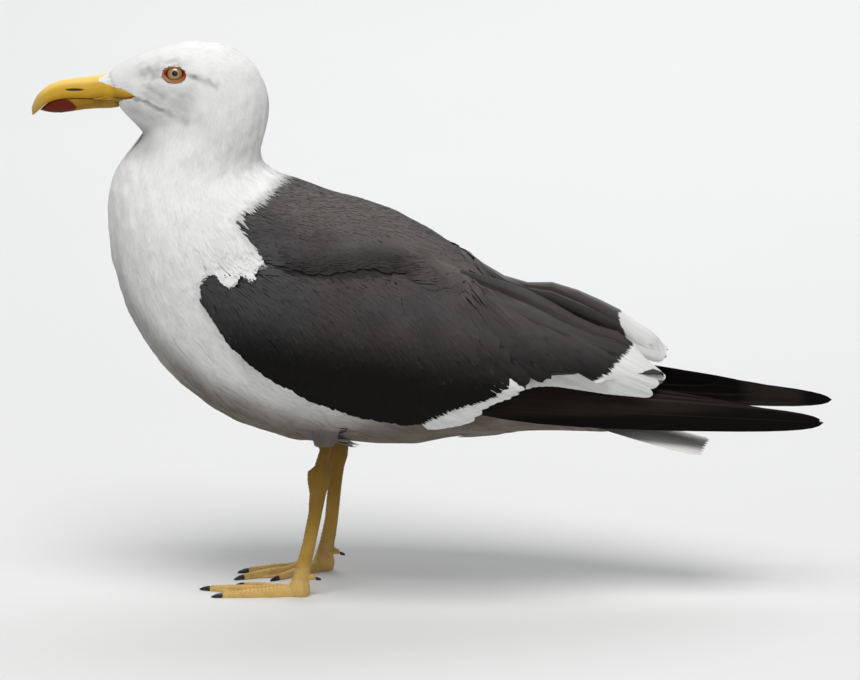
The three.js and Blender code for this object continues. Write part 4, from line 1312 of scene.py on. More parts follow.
def covert_feathers(side, sheet, draws, gap, scale, slim):
    """Roots, angles and lengths of the coverts of one wing."""
    x, down = scatter(sheet, (-138.5, 0.0), (90.0, 1.0), lambda a, b: gap, draws)
    roots = sheet.read(x, down)[0]
    z = roots[:, 2] / MM
    hidden = (x > -100) & (x < 6) & (z > line(SCAPULAR_EDGE, x) + 5)
    hidden |= (x >= 6) & (z > 202)
    hidden |= (x < -98) & (z > line(BEND_EDGE, x) + 1.0)
    # The broad ones under the plumes end sooner near the wing's crest.
    ends = line(COVERT_END, down) - (0 if slim else 18 * step(down, 0.7, 0.3))
    keep = ~hidden & (x < ends + draws.uniform(-16 if slim else -4, 1, len(x)))
    x, down, roots = x[keep], down[keep], roots[keep]
    slope = np.radians(line(COVERT_SLOPE, x)) * (0.45 + 0.6 * step(down, 0.0, 0.4))
    slope += 0.06 * draws.normal(size=len(x)) + 0.08 * ripple(roots, 40, 9)
    length = np.interp(x + 60 * down, [-140, -80, 0, 120], [9, 14, 20, 27]) * MM * scale
    length *= draws.uniform(0.85, 1.15, len(x))
    rate = sheet.read(x, down)[3]
    for _ in range(3):
        tips = sheet.read(x + length * np.cos(slope) / MM, down + length * np.sin(slope) / rate)[0]
        low_edge = wing_point(side, tips[:, 0] / MM, 1.0)[:, 2] - draws.uniform(-0.3, 1.0, len(x)) * MM
        white = line(WHITE_LINE_TOP, tips[:, 0] / MM) * MM + length * (0.02 if slim else 0.1)
        edge = np.where(tips[:, 0] > -2 * MM, np.maximum(white, low_edge), low_edge)
        length = cut_short(length, roots, tips, edge, 0)
    keep = length > (2.0 if slim else 4.5) * MM
    return x[keep], down[keep], roots[keep], slope[keep], length[keep]


def covert_coat(name, side, sheet, seed, slim):
    """The lesser, median and greater coverts: broad feathers, or the slim plumes over them."""
    draws = np.random.default_rng(seed)
    x, down, roots, slope, length = covert_feathers(
        side, sheet, draws, 1.9 if slim else 4.5, 0.55 if slim else 1.0, slim)
    kind = SLIM_KIND if slim else BROAD_KIND
    thick = np.interp(x + 40 * (1 - down), [-140, -90, 60, 100], [0.4, 1.3, 1.3, 0.8]) * MM
    lift = thick + draws.uniform(0.0, 0.12, len(x)) * MM + (0.25 * MM if slim else 0)
    sink = (0.1 * MM - thick) if slim else 0.05 * length - 0.4 * thick
    laid = lay(sheet, x, down, slope, length, kind[1], rising(sink, lift, kind[1], 0.6))
    half = length * (SLIM_HALF if slim else 0.24)
    patches = small_patches((x - WING_LOW[0]) / (WING_HIGH[0] - WING_LOW[0]), down / WING_HIGH[1])
    return dark_coat(name, kind, laid, half, patches, dark_marks(roots, draws))


VANE_SHARES = np.array([0.0, 0.08, 0.18, 0.3, 0.42, 0.54, 0.65, 0.75, 0.83, 0.895, 0.94, 0.97, 0.988, 1.0])
VANE_WIDTHS = [0.3, 0.6, 0.82, 0.93, 0.98, 1.0, 1.0, 0.97, 0.9, 0.77, 0.61, 0.44, 0.25]
# Long narrow feathers keep tapering towards the tip.
QUILL_WIDTHS = [0.5, 0.75, 0.92, 1.0, 1.0, 0.97, 0.9, 0.82, 0.73, 0.62, 0.5, 0.37, 0.22]

# Tertials of each wing, lowest first: root and tip (x, z).
LOW_TERTIALS = [
    ((8, 198), (41, 135)),
    ((12, 199), (53, 140.5)),
    ((16, 200), (65, 143)),
    ((20, 201), (77, 144)),
    ((24, 202), (89, 142.5)),
    ((28, 202), (102, 135)),
    ((32, 201), (118, 133)),
]
TERTIALS = {
    LEFT: LOW_TERTIALS + [((36, 200), (132, 131.5)), ((40, 199), (142, 134))],
    RIGHT: LOW_TERTIALS + [((36, 200), (132, 136)), ((40, 199), (143, 142))],
}
# The innermost tertials lie along the wing's top edge: x and down of the root and of the tip.
TOP_TERTIALS = [((21, 0.38), (146, 0.42)), ((23, 0.22), (147, 0.2)), ((25, 0.05), (145, 0.0))]
# The slope of the tertials, and where their dark part ends: distance along it for each distance across it.
TERTIAL_SLOPE = math.radians(42)
LOW_WHITE = [(90, -76), (94, -74), (107, -69.4), (134.8, -56.1), (149.5, -46), (161, -33.8), (164.9, -26),
             (171.6, -17.7), (182.6, -13.4), (191.7, -12.9)]
WHITE_STARTS = {
    LEFT: LOW_WHITE + [(201.7, -10.6), (203.6, -21.9), (215, -24)],
    RIGHT: LOW_WHITE + [(200, -16), (206, -29.4), (215, -31)],
}


def white_of(side):
    """How far a point is into the white tips of the wing, in millimetres along the tertials."""

    def white(points):
        x, _, z = axes_of(points)
        across = x * math.sin(TERTIAL_SLOPE) + z * math.cos(TERTIAL_SLOPE)
        along = x * math.cos(TERTIAL_SLOPE) - z * math.sin(TERTIAL_SLOPE)
        return along - line(WHITE_STARTS[side], across)

    return white


def down_at(sheet, x, z):
    """Where the wing's outer face has the heights z, outside its crest, as its measure of down."""
    downs = np.linspace(0, 1.15, 70)
    found = []
    for one_x, one_z in zip(x, z):
        heights = sheet.read(np.full(70, one_x), downs)[0][:, 2] / MM
        crest = int(heights.argmax())
        found.append(np.interp(-one_z, -heights[crest:], downs[crest:]))
    return np.array(found)


def vane_path(sheet, root, tip, sag):
    """The places x and down of a midrib over the wing's outer face. It sags under the straight line."""
    x = root[0] + (tip[0] - root[0]) * VANE_SHARES
    z = root[1] + (tip[1] - root[1]) * VANE_SHARES - 4 * sag * VANE_SHARES * (1 - VANE_SHARES)
    return x, down_at(sheet, x, z)


def vane_marks(midribs, white, draws):
    """Marks of large feathers. white is the distance past the start of the white, or works it out."""
    return {
        "tone": draws.random(len(midribs)),
        "white": white,
        # Painted shade low on the wing, and painted light on the upper part of the right wing.
        "dark_and_shade": lambda points: 0.85 * dark_and_shade_of(points),
        "painted_skylight": lambda points: step(points[..., 1] / MM, 2, 7) * step(points[..., 2] / MM, 150, 170),
    }


def wing_tertials(name, side, sheet, seed):
    """Tertials of one wing."""
    draws = np.random.default_rng(seed)
    coat = Feathers(name, VANE_SECTION, VANE_SHARES, VANE_WIDTHS, bend=0.22)
    paths = [vane_path(sheet, root, tip, 3.5) for root, tip in TERTIALS[side]]
    for start, end in np.array(TOP_TERTIALS):
        paths.append((start + (end - start) * VANE_SHARES[:, None]).T)
    x, down = (np.array([path[k] for path in paths]) for k in range(2))
    count = len(x)
    lift = np.linspace(1.2, 1.9, count)[:, None] * step(VANE_SHARES, 0.1, 0.5)
    height = (lift - 3.2 * step(VANE_SHARES, 0.22, 0)) * MM
    half = np.interp(np.arange(count), [0, count - 4, count - 1], [8.5, 11.0, 9.5]) * MM
    marks = vane_marks(x, white_of(side), draws)
    coat.drape(sheet, x, down, height, half, 0.3 * MM, sheet_patches(count, 4), marks)
    return coat.finish()


# The secondaries: the first and the last tip's x, how many there are, and how long each is.
SECONDARY_TIPS = (12, 140, 29)
SECONDARY_LENGTH = 45
# Feathers marked this far past the start of the white are white all over.
ALL_WHITE = 9.0
# The inner secondaries hang free of the wing, outside the primaries: the distance |y| of each tip at its x.
FREE_FROM = 63
# How much farther out their roots are than their tips.
FREE_SPREAD = 9
FREE_TIPS = [(63, 53), (69, 44), (78, 38.5), (91, 37), (104, 34), (118, 32), (140, 30)]


def wing_secondaries(name, side, sheet, seed):
    """The secondaries of one wing, of which the white tips show below the coverts."""
    draws = np.random.default_rng(seed)
    coat = Feathers(name, VANE_SECTION, VANE_SHARES, VANE_WIDTHS, bend=0.2)
    paths, midribs, ups = [], [], []
    for tip_x in np.linspace(*SECONDARY_TIPS):
        tip_z = line(WHITE_LINE_END, tip_x)
        slope = math.radians(line(COVERT_SLOPE, tip_x) * 0.8)
        root = (tip_x - SECONDARY_LENGTH * math.cos(slope), tip_z + SECONDARY_LENGTH * math.sin(slope))
        if tip_x < FREE_FROM:
            paths.append(vane_path(sheet, root, (tip_x, tip_z), 0.0))
            continue
        out = line(FREE_TIPS, tip_x)
        start = np.array([root[0], side * (out + FREE_SPREAD), root[1]]) * MM
        run = np.array([tip_x, side * out, tip_z]) * MM - start
        midribs.append(start + run * VANE_SHARES[:, None])
        ups.append(np.repeat(unit(np.cross(run, np.array([0.6, 0.0, 1.0])))[None], len(VANE_SHARES), 0))
        ups[-1] *= np.sign(ups[-1][0, 1] * side)
    x, down = (np.array([path[k] for path in paths]) for k in range(2))
    draped, free = len(x), len(midribs)
    height = np.linspace(0.25, 0.75, draped)[:, None] * MM + 0.5 * MM * step(VANE_SHARES, 0.3, 1.0)
    patches = sheet_patches(draped + free, 5)
    marks = vane_marks(x, np.full(draped, ALL_WHITE), draws)
    coat.drape(sheet, x, down, height, np.full(draped, 6.5 * MM), 0.25 * MM, patches[:draped], marks)
    marks = vane_marks(midribs, np.full(free, ALL_WHITE), draws)
    midribs, ups = np.array(midribs), np.array(ups)
    coat.add(midribs, ups, np.full(free, 4.8 * MM), 0.4 * MM, 0.1, patches[draped:], marks)
    return coat.finish()


def wing_primaries(name, side, seed):
    """The long folded primaries of one wing."""
    draws = np.random.default_rng(seed)
    coat = Feathers(name, VANE_SECTION, VANE_SHARES, QUILL_WIDTHS, softness=0.4, bend=0.2)
    shares = VANE_SHARES[:, None]
    midribs, ups, half = [], [], []
    for root, tip, breadth in PRIMARIES:
        start = np.array(root) * [1, side, 1] * MM
        end = np.array(tip) * [1, side, 1] * MM
        if side == RIGHT:
            end += np.array([RIGHT_TIP_REACH, 0, RIGHT_TIP_RISE]) * MM
        run = end - start
        outward = unit(np.cross(run, np.array([0.0, -side * PRIMARY_LEAN, 1.0])))
        outward *= np.sign(outward[1] * side)
        midribs.append(start + run * shares)
        ups.append(np.repeat(outward[None], len(shares), 0))
        half.append(breadth * MM)
    midribs, ups, half = np.array(midribs), np.array(ups), np.array(half)
    lengths = np.linalg.norm(midribs[:, -1] - midribs[:, 0], axis=-1) / MM
    white = lengths[:, None] * (VANE_SHARES - 1) + (PRIMARY_SPOT if side == LEFT else 0)
    marks = vane_marks(midribs, white, draws)
    coat.add(midribs, ups, half, 0.5 * MM, 0.1, sheet_patches(len(half), 3), marks)
    return coat.finish()


# How many feathers the tail has, and half the width of each.
TAIL_COUNT, TAIL_HALF = 12, 8.0


def tail_feathers(name, seed):
    """The tail feathers, in a closed fan."""
    draws = np.random.default_rng(seed)
    coat = Feathers(name, VANE_SECTION, VANE_SHARES, VANE_WIDTHS, softness=0.4, bend=0.2)
    midribs, ups = [], []
    for place in np.linspace(-1, 1, TAIL_COUNT):
        start = np.array([60, 9 * place, 120.5])
        tip_z = 93.4 + 1.6 * (1 - abs(place)) - 2.2 * place**2
        end = np.array([173.5 - 3.0 * abs(place), 22.5 * place, tip_z])
        midribs.append((start + (end - start) * VANE_SHARES[:, None]) * MM)
        ups.append(np.repeat(unit(np.array([0.2, 0.12 * place, 1.0]))[None], len(VANE_SHARES), 0))
    midribs, ups = np.array(midribs), np.array(ups)
    none = np.zeros(TAIL_COUNT)
    marks = {"tone": draws.random(TAIL_COUNT), "white": none + ALL_WHITE, "dark_and_shade": none, "painted_skylight": none}
    patches = sheet_patches(TAIL_COUNT, 4)
    coat.add(midribs, ups, none + TAIL_HALF * MM, 0.35 * MM, 0.08, patches, marks)
    return coat.finish()


# ---------------------------------------------------------------- finishes

WHITE = (0.88, 0.88, 0.875)
WARM_WHITE = (0.80, 0.795, 0.775)
SOFT_GREY = (0.60, 0.595, 0.58)
# Painted shade: grey for the face, throat and breast, also the grey at the dark border, and brown below,
# where there is staining too.
SHADE_GREY = (0.27, 0.265, 0.26)
SOIL_AND_SHADE_BROWN = (0.125, 0.102, 0.077)
WHITE_TIP = (0.84, 0.84, 0.83)
WORN_TIP = (0.55, 0.54, 0.52)
SLATE_BLUE = (0.078, 0.075, 0.0755)
SLATE_BROWN = (0.080, 0.069, 0.0645)
SLATE_PALE = (0.150, 0.138, 0.132)
# Painted light on dark feathers.
SLATE_PAINTED_LIGHT = (0.19, 0.18, 0.176)
SLATE_SKIN = (0.046, 0.041, 0.039)
SLATE_DEEP = (0.0065, 0.0058, 0.0053)
QUILL_BLACK = (0.0045, 0.0038, 0.0034)
QUILL_BROWN = (0.024, 0.019, 0.0155)
TAIL_WHITE = (0.82, 0.80, 0.77)
TAIL_BUFF = (0.7, 0.65, 0.6)
TAIL_RIM = (0.6, 0.54, 0.48)
TAIL_TIP = (0.86, 0.84, 0.80)
QUILL_OVAL = (0.034, 0.029, 0.026)
QUILL_EDGE = (0.05, 0.04, 0.034)
QUILL_SHAFT = (0.04, 0.031, 0.024)
# The horn's yellow, with shaded copies at the cutting edge and on the lower mandible and a lit copy on the
# ridge: painted shade and highlight.
HORN_SHADED = (0.36, 0.19, 0.006)
HORN_YELLOW = (0.60, 0.36, 0.035)
HORN_LIT = (0.88, 0.60, 0.15)
HORN_LOWER_SHADED = (0.30, 0.16, 0.006)
HORN_MOTTLE = (0.56, 0.34, 0.06)
HORN_TIP = (0.46, 0.32, 0.11)
SPOT_RED = (0.13, 0.010, 0.0008)
GAPE_RED = (0.40, 0.045, 0.01)
# Painted shade in the nostril and in the groove of the mouth line.
HOLLOW_SHADE = (0.05, 0.03, 0.012)
SOLE_PALE = (0.80, 0.53, 0.18)
FOOT_YELLOW = (0.52, 0.32, 0.06)
SHANK_OCHRE = (0.24, 0.135, 0.014)
ANKLE_OCHRE = (0.14, 0.075, 0.006)
LEG_MOTTLE = (0.30, 0.17, 0.03)
SCUTE_LINE = (0.22, 0.12, 0.03)
TOE_GROOVE = (0.20, 0.11, 0.03)
CLAW_BLACK = (0.012, 0.010, 0.009)
CLAW_GREY = (0.03, 0.026, 0.022)
IRIS_AMBER = (0.42, 0.24, 0.055)
IRIS_BROWN = (0.26, 0.13, 0.025)
IRIS_PALE = (0.40, 0.34, 0.26)
IRIS_RIM = (0.11, 0.045, 0.012)
PUPIL_BLACK = (0.004, 0.004, 0.004)
BALL_EDGE = (0.05, 0.012, 0.008)
LID_ORANGE = (0.28, 0.115, 0.035)
LID_RED = (0.34, 0.035, 0.005)
LID_SHADE = (0.16, 0.07, 0.025)
FLOOR_GREY = (0.74, 0.74, 0.735)
FLOOR_PALE = (0.77, 0.77, 0.765)


def barbs_of(finish, lines, count=0.35):
    """Fine ridges that run out from the shaft to the rim of a feather."""
    across, along = finish.vane()
    return ((along - across.size() * count) * (lines * math.tau)).sine()


def streaks_of(finish, across_scale, along_scale):
    """Soft streaks of a feather's own, drawn along it."""
    across, along = finish.vane()
    where = finish.node("ShaderNodeCombineXYZ", None,
                        (across * across_scale, along * along_scale, finish.mark("tone") * 60.0))
    return finish.cloud(1.0, 2.0, where)


def with_markings(finish, white, patch):
    """Painted grey shade of the face and breast, with the grey at the dark border, and brown staining with
    painted shade below, the same on the skin and on its feathers.
    """
    white = finish.blend(finish.mark("grey"), white, SHADE_GREY)
    return finish.blend(finish.mark("soil_and_shade") * (0.75 + patch * 0.4), white, SOIL_AND_SHADE_BROWN)


def white_finish():
    finish = Finish("white_plumage", 0.8, Specular_IOR_Level=0.2, Sheen_Weight=0.15)
    streak = streaks_of(finish, 2.2, 0.8)
    patch = finish.cloud(70.0)
    white = finish.blend(streak * 0.5 + patch * 0.3, WHITE, WARM_WHITE)
    white = finish.blend(finish.mark("tone").ramp(0.35, 1.0) * 0.32, white, SOFT_GREY)
    return finish.paint(with_markings(finish, white, patch))


def dark_finish():
    finish = Finish("slate_plumage", 0.75, Specular_IOR_Level=0.12)
    across, along = finish.vane()
    streak = streaks_of(finish, 3.0, 1.2)
    base = finish.layers(
        SLATE_BROWN,
        (finish.mark("cloud"), SLATE_BLUE),
        (finish.mark("tone") * 0.42, SLATE_DEEP),
        (streak.ramp(0.45, 0.8) * 0.16, SLATE_PALE),
    )
    rim = across.size().ramp(0.6, 1.0) * 0.5 + along.ramp(0.85, 1.0) * 0.5
    base = finish.layers(
        base,
        (rim * 0.14, SLATE_PALE),
        # Painted light along the back, then painted shade low on the wing and over the scapulars' edge.
        (finish.mark("painted_skylight") * 0.55, SLATE_PALE),
        (finish.mark("dark_and_shade"), SLATE_DEEP),
    )
    return finish.paint(base)


def skin_finish():
    """The skin carries the coat's markings, its painted shade too."""
    finish = Finish("feathered_skin", 0.85, Specular_IOR_Level=0.2)
    patch = finish.cloud(70.0)
    white = with_markings(finish, finish.blend(patch, WHITE, WARM_WHITE), patch)
    colour = finish.blend(finish.mark("slate"), white, SLATE_SKIN)
    return finish.paint(colour, height=patch, depth=0.0004, strength=0.4)


def vane_finish(name, dark, other, edge, tip):
    """Flight feathers: dark vanes with white tips, a shaft, and barbs."""
    finish = Finish(name, 0.72, Specular_IOR_Level=0.12)
    across, _ = finish.vane()
    streak = streaks_of(finish, 5.0, 2.0)
    colour = finish.layers(
        dark,
        (streak.ramp(0.3, 0.7), other),
        (finish.mark("tone") * 0.3 + streak.ramp(0.5, 0.8) * 0.3, SLATE_DEEP),
        (across.ramp(0.3, 0.75) * across.ramp(1.0, 0.8) * 0.45, SLATE_DEEP),
        (across.size().ramp(0.78, 0.98) * 0.6, edge),
        # Painted light on the upper part of the right wing, then painted shade low on the wing.
        (finish.mark("painted_skylight") * across.ramp(-0.9, 0.1), SLATE_PAINTED_LIGHT),
        (finish.mark("dark_and_shade"), SLATE_DEEP),
    )
    ragged = (streaks_of(finish, 9.0, 1.5) - 0.5) * 9.0
    worn = finish.blend(streak.ramp(0.35, 0.7) * 0.35, tip, WORN_TIP)
    colour = finish.blend((finish.mark("white") + ragged).ramp(-0.8, 0.8), colour, worn)
    return finish.paint(colour, height=barbs_of(finish, 60), depth=0.0002, strength=0.3)


def quill_finish():
    """The long primaries: black, with browner vanes high up towards the roots."""
    finish = Finish("black_flight_feathers", 0.7, Specular_IOR_Level=0.05)
    across, along = finish.vane()
    streak = streaks_of(finish, 4.0, 2.0)
    back, out, height = finish.parts_of(finish.place())
    brown_above = height.ramp(0.114, 0.121) * along.ramp(0.9, 0.45) * (0.4 + streak * 0.9)
    colour = finish.blend(brown_above, QUILL_BLACK, QUILL_BROWN)
    oval = back.ramp(0.188, 0.200) * back.ramp(0.236, 0.226) * out.ramp(0.0, 0.003)
    colour = finish.layers(
        colour,
        (oval * (0.5 + streak * 0.5), QUILL_OVAL),
        (across.ramp(-0.75, -0.97) * 0.5, QUILL_EDGE),
        (across.size().ramp(0.05, 0.02) * 0.3, QUILL_SHAFT),
    )
    ragged = (streaks_of(finish, 6.0, 1.0) - 0.5) * 2.0
    spot = (finish.mark("white") + ragged).ramp(-0.5, 0.5) * across.ramp(0.1, -0.5)
    colour = finish.blend(spot, colour, WHITE_TIP)
    return finish.paint(colour, height=barbs_of(finish, 90), depth=0.0002, strength=0.3)


def bill_finish():
    finish = Finish("bill_horn", 0.45, Specular_IOR_Level=0.2)
    x, _, z = finish.parts_of(finish.place())
    rise = finish.mark("rise")
    mottle = finish.cloud(160.0)
    # The horn's yellow, with painted shade along the cutting edge and on the lower mandible, and a painted
    # highlight along the ridge.
    yellow = finish.layers(
        HORN_SHADED,
        (rise.ramp(0.0, 0.42), HORN_YELLOW),
        (rise.ramp(0.55, 0.95), HORN_LIT),
        (finish.mark("lower") * 0.75, HORN_LOWER_SHADED),
        (mottle.ramp(0.45, 0.75) * 0.3, HORN_MOTTLE),
        (x.ramp(-0.236, -0.2455) * 0.65, HORN_TIP),
    )
    across, up = (x + 0.2300) / 0.0110, (z - 0.3010) / 0.0053
    spot = (across * across + up * up + (mottle - 0.5) * 0.5).ramp(1.2, 0.8) * finish.mark("lower")
    colour = finish.layers(
        yellow,
        (spot, SPOT_RED),
        (finish.mark("red"), GAPE_RED),
        # Painted shade in the nostril and in the groove of the mouth line.
        (finish.mark("hollow"), HOLLOW_SHADE),
    )
    return finish.paint(colour, height=finish.cloud(500.0, 4.0), depth=0.0002, strength=0.25)


def leg_finish():
    finish = Finish("leg_skin", 0.55, Specular_IOR_Level=0.2)
    place = finish.place()
    height = finish.parts_of(place)[2]
    mottle = finish.cloud(110.0)
    cells = finish.node("ShaderNodeTexVoronoi", {"feature": "DISTANCE_TO_EDGE"},
                        {"Vector": place, "Scale": 800.0})
    # The leg gets darker from the sole up to the ankle.
    colour = finish.layers(
        SOLE_PALE,
        (height.ramp(0.008, 0.026), FOOT_YELLOW),
        (height.ramp(0.026, 0.062), SHANK_OCHRE),
        (height.ramp(0.062, 0.095), ANKLE_OCHRE),
        (mottle.ramp(0.4, 0.75) * 0.35, LEG_MOTTLE),
        (cells.ramp(0.10, 0.0) * 0.3, SCUTE_LINE),
        (finish.mark("groove"), TOE_GROOVE),
    )
    return finish.paint(colour, height=cells.ramp(0.0, 0.12), depth=0.0003, strength=0.45)


def claw_finish():
    finish = Finish("claw_horn", 0.35)
    streak = finish.cloud(300.0)
    colour = finish.blend(streak, CLAW_BLACK, CLAW_GREY)
    return finish.paint(colour, height=streak, depth=0.0001, strength=0.3)


def eye_finish():
    finish = Finish("eye_ball", 0.12, Coat_Weight=1.0, Coat_Roughness=0.02)
    angle = finish.mark("gaze")
    fibres = (finish.mark("spoke") * 34.0 + finish.cloud(900.0) * 6.0).sine() * 0.5 + 0.5
    iris = finish.layers(
        IRIS_AMBER,
        (fibres * 0.6, IRIS_BROWN),
        (angle.ramp(24.0, 17.0) * 0.5, IRIS_PALE),
        (angle.ramp(31.0, 41.0), IRIS_RIM),
    )
    colour = finish.blend(angle.ramp(14.5, 13.0), iris, PUPIL_BLACK)
    colour = finish.blend(angle.ramp(43.0, 46.0), colour, BALL_EDGE)
    return finish.paint(colour)


def lid_finish():
    finish = Finish("eye_rim", 0.5, Specular_IOR_Level=0.35)
    colour = finish.blend(finish.mark("red"), LID_ORANGE, LID_RED)
    colour = finish.blend(finish.mark("upper") * 0.35, colour, LID_SHADE)
    return finish.paint(colour, height=finish.cloud(1400.0), depth=0.0001, strength=0.4)


def floor_finish():
    finish = Finish("pale_floor", 0.9, Specular_IOR_Level=0.1)
    colour = finish.blend(finish.cloud(3.0), FLOOR_GREY, FLOOR_PALE)
    return finish.paint(colour)


# ---------------------------------------------------------------- pieces


def add_floor(material):
    bpy.ops.mesh.primitive_plane_add(size=60)
    floor = bpy.context.object
    floor.name = "floor"
    floor.data.materials.append(material)


def make_skin(form, arms, material):
    """The skin lies under the form by the coat's depth, less where the body is thin."""
    skin = form.copy()
    skin.data = form.data.copy()
    skin.name = "skin"
    bpy.context.scene.collection.objects.link(skin)
    tree = tree_of(skin)
    points, normals = points_of(skin), normals_of(skin)
    x, y, z = axes_of(points)
    depth = np.interp(x + 0.6 * (330 - z), [-200, -170, -60], [0.4, 0.55, 1.3]) * MM
    for i, (point, normal) in enumerate(zip(points, normals)):
        inward = Vector(-normal)
        hit = tree.ray_cast(Vector(point) + inward * 0.0002, inward, 0.02)
        if hit[3] is not None:
            depth[i] = min(depth[i], hit[3] * 0.4)
    inner = points - normals * depth[:, None]
    socket = 4.5 * MM * step(eye_reach(points), 1.06, 0.84) * (np.abs(y) > 10)
    inner[:, 1] -= np.sign(y) * socket
    # The arms' flesh keeps clear of the white tips under it.
    lift = (146 - z) * 0.65 * step(z, 146, 144) * step(z, 121, 129)
    inner[:, 2] += lift * MM * step(np.abs(y), 11, 15) * step(x, 40, 50)
    move_points(skin, inner)
    # Painted shade of the face, throat and breast, and staining with painted shade below, as on the
    # feathers.
    write_mark(skin, "grey", painted_shade_of(points))
    write_mark(skin, "soil_and_shade", soil_and_shade_of(points))
    far = drawn_to(arms, points, 0)[1]
    write_mark(skin, "slate", np.maximum(is_slate(points), far < 2.6 * MM))
    settle(skin, FLESH + [f"wing_{name}_coverts" for name in SIDES], material)


def side_hit(tree, side, point):
    """Where a line from beside the head meets it, at a point's x and z."""
    return tree.ray_cast(Vector((point[0], side * 0.05, point[2])), Vector((0, -side, 0)))[0]


def make_eye(name, side, material):
    centre = Vector(EYE_CENTRE) * MM
    centre.y *= side
    gaze = Vector((0.03, side, 0.2)).normalized()
    bpy.ops.mesh.primitive_uv_sphere_add(segments=48, ring_count=32, radius=EYE_RADIUS * MM, location=centre)
    eye = bpy.context.object
    eye.name = f"eyeball_{name}"
    bpy.ops.object.transform_apply(location=True, rotation=True, scale=True)
    offset = points_of(eye) - np.array(centre)
    angle = np.degrees(np.arccos(np.clip(unit(offset) @ np.array(gaze), -1, 1)))
    # The front bulges a little, and the part behind the lids is smaller.
    outward = np.degrees(np.arccos(np.clip(unit(offset)[:, 1] * side, -1, 1)))
    swell = 1 + 0.03 * step(angle, 50, 10) - 0.2 * step(outward, 43, 62)
    move_points(eye, np.array(centre) + offset * swell[:, None])
    up = gaze.cross(Vector((1, 0, 0))).normalized()
    write_mark(eye, "gaze", angle)
    write_mark(eye, "spoke", np.arctan2(offset @ np.array(up), offset @ np.array(gaze.cross(up))))
    settle(eye, [f"eye_{name}"], material)


def make_lids(name, side, tree, material):
    """The naked rim of the eye: it wraps the eyeball inside and meets the face outside."""
    bpy.ops.mesh.primitive_torus_add(
        major_segments=72, minor_segments=14, major_radius=1.0, minor_radius=0.2)
    rim = bpy.context.object
    rim.name = f"eye_rim_{name}"
    ring = points_of(rim)
    around = np.arctan2(ring[:, 1], ring[:, 0])
    out = (np.hypot(ring[:, 0], ring[:, 1]) - 1) / 0.2
    corner = np.abs(np.cos(around)) ** 5
    share = (0.5 + 0.5 * out)[:, None]
    middle = np.array(SLIT_CENTRE) * (1 - share) + np.array(LID_CENTRE) * share
    size = np.array(SLIT_SIZE) * (1 - share) + (np.array(LID_SIZE) + 0.35) * share
    flat = middle + size * np.stack([np.cos(around) * (1 + 0.04 * corner), np.sin(around)], -1)
    points = np.stack([flat[:, 0], 0 * around, flat[:, 1]], -1) * MM
    for i, point in enumerate(points):
        face = abs(side_hit(tree, side, point).y)
        aside = math.hypot(point[0] / MM - EYE_CENTRE[0], point[2] / MM - EYE_CENTRE[2])
        ball = (EYE_CENTRE[1] + math.sqrt(max((EYE_RADIUS + 0.5) ** 2 - aside**2, 0))) * MM
        part = 0.5 + 0.5 * out[i]
        base = max(ball * (1 - part) + (face + 0.15 * MM) * part, ball - 0.25 * MM)
        points[i, 1] = side * (base + ring[i, 2] / 0.2 * 0.6 * MM)
    move_points(rim, points)
    face_outwards(rim)
    write_mark(rim, "red", corner)
    write_mark(rim, "upper", step(np.sin(around), 0.2, 0.8))
    settle(rim, [], material)


# The horn is set lower than its CAD solids by this much, and its ridge reaches farther onto the forehead.
BILL_DROP = 1.5
RIDGE_REACH = 2.6


def bill_set(points, part):
    x, _, z = axes_of(points)
    start = (186, 200) if part == "lower" else (196, 214)
    moved = points.copy()
    moved[:, 2] -= BILL_DROP * MM * step(-x, *start)
    moved[:, 0] += RIDGE_REACH * MM * step(x, -216, -200) * step(z, 314, 321)
    return moved


# The bill's cutting edge and its ridge: height z at each x.
BILL_EDGE = [(-246, 297), (-240, 302), (-234, 306), (-226, 307.8), (-203, 308.1)]
BILL_RIDGE = [(-246.8, 300.8), (-241.6, 310.8), (-236, 315.4), (-228, 318.6), (-218, 320.3), (-199, 322.3)]


def make_bill(part, material):
    bill = copy_of(f"bill_{part}_horn", [f"bill_{part}"])
    fuse(bill, voxel=0.0004, grow=0.00005, smoothing=4)
    points, normals = bill_set(points_of(bill), part), normals_of(bill)
    x, y, z = axes_of(points)
    z = z + BILL_DROP * step(-x, 196, 214)
    edge, ridge = line(BILL_EDGE, x), line(BILL_RIDGE, x)
    slit = ((x + 220.0) / 6.2) ** 2 + ((z - 313.4 - 0.03 * (x + 220)) / 0.95) ** 2
    upper = float(part == "upper")
    hollow = step(slit, 1.2, 0.4) * (np.abs(y) > 1.5) * upper
    lip = np.exp(-((slit - 1.6) / 0.8) ** 2) * 0.12 * upper
    move_points(bill, points + normals * ((lip - 0.9 * hollow) * MM)[:, None])
    # rise and lower carry the painted highlight on the ridge and the painted shade at the edge and below;
    # hollow carries the nostril's painted shade.
    write_mark(bill, "rise", np.clip((z - edge) / (ridge - edge), 0, 1))
    write_mark(bill, "hollow", hollow)
    write_mark(bill, "lower", 1 - upper + 0 * x)
    write_mark(bill, "red", 0 * x)
    settle(bill, [f"bill_{part}"], material)


# The bare corner of the mouth: its upper edge, mouth line and lower edge, as z at each x.
GAPE_TOP = [(-208, 317.6), (-204, 317.2), (-197.2, 315.6), (-193, 314.6), (-187.6, 313.8), (-185.5, 312.8),
            (-180.5, 310.8)]
GAPE_LINE = [(-208, 306.8), (-203, 307.0), (-195, 308.0), (-187, 309.1), (-180.5, 310.5)]
GAPE_LOW = [(-208, 304.2), (-203, 303.8), (-194, 304.0), (-192.3, 305.4), (-189, 307.4), (-184, 308.9),
            (-180.5, 310.2)]


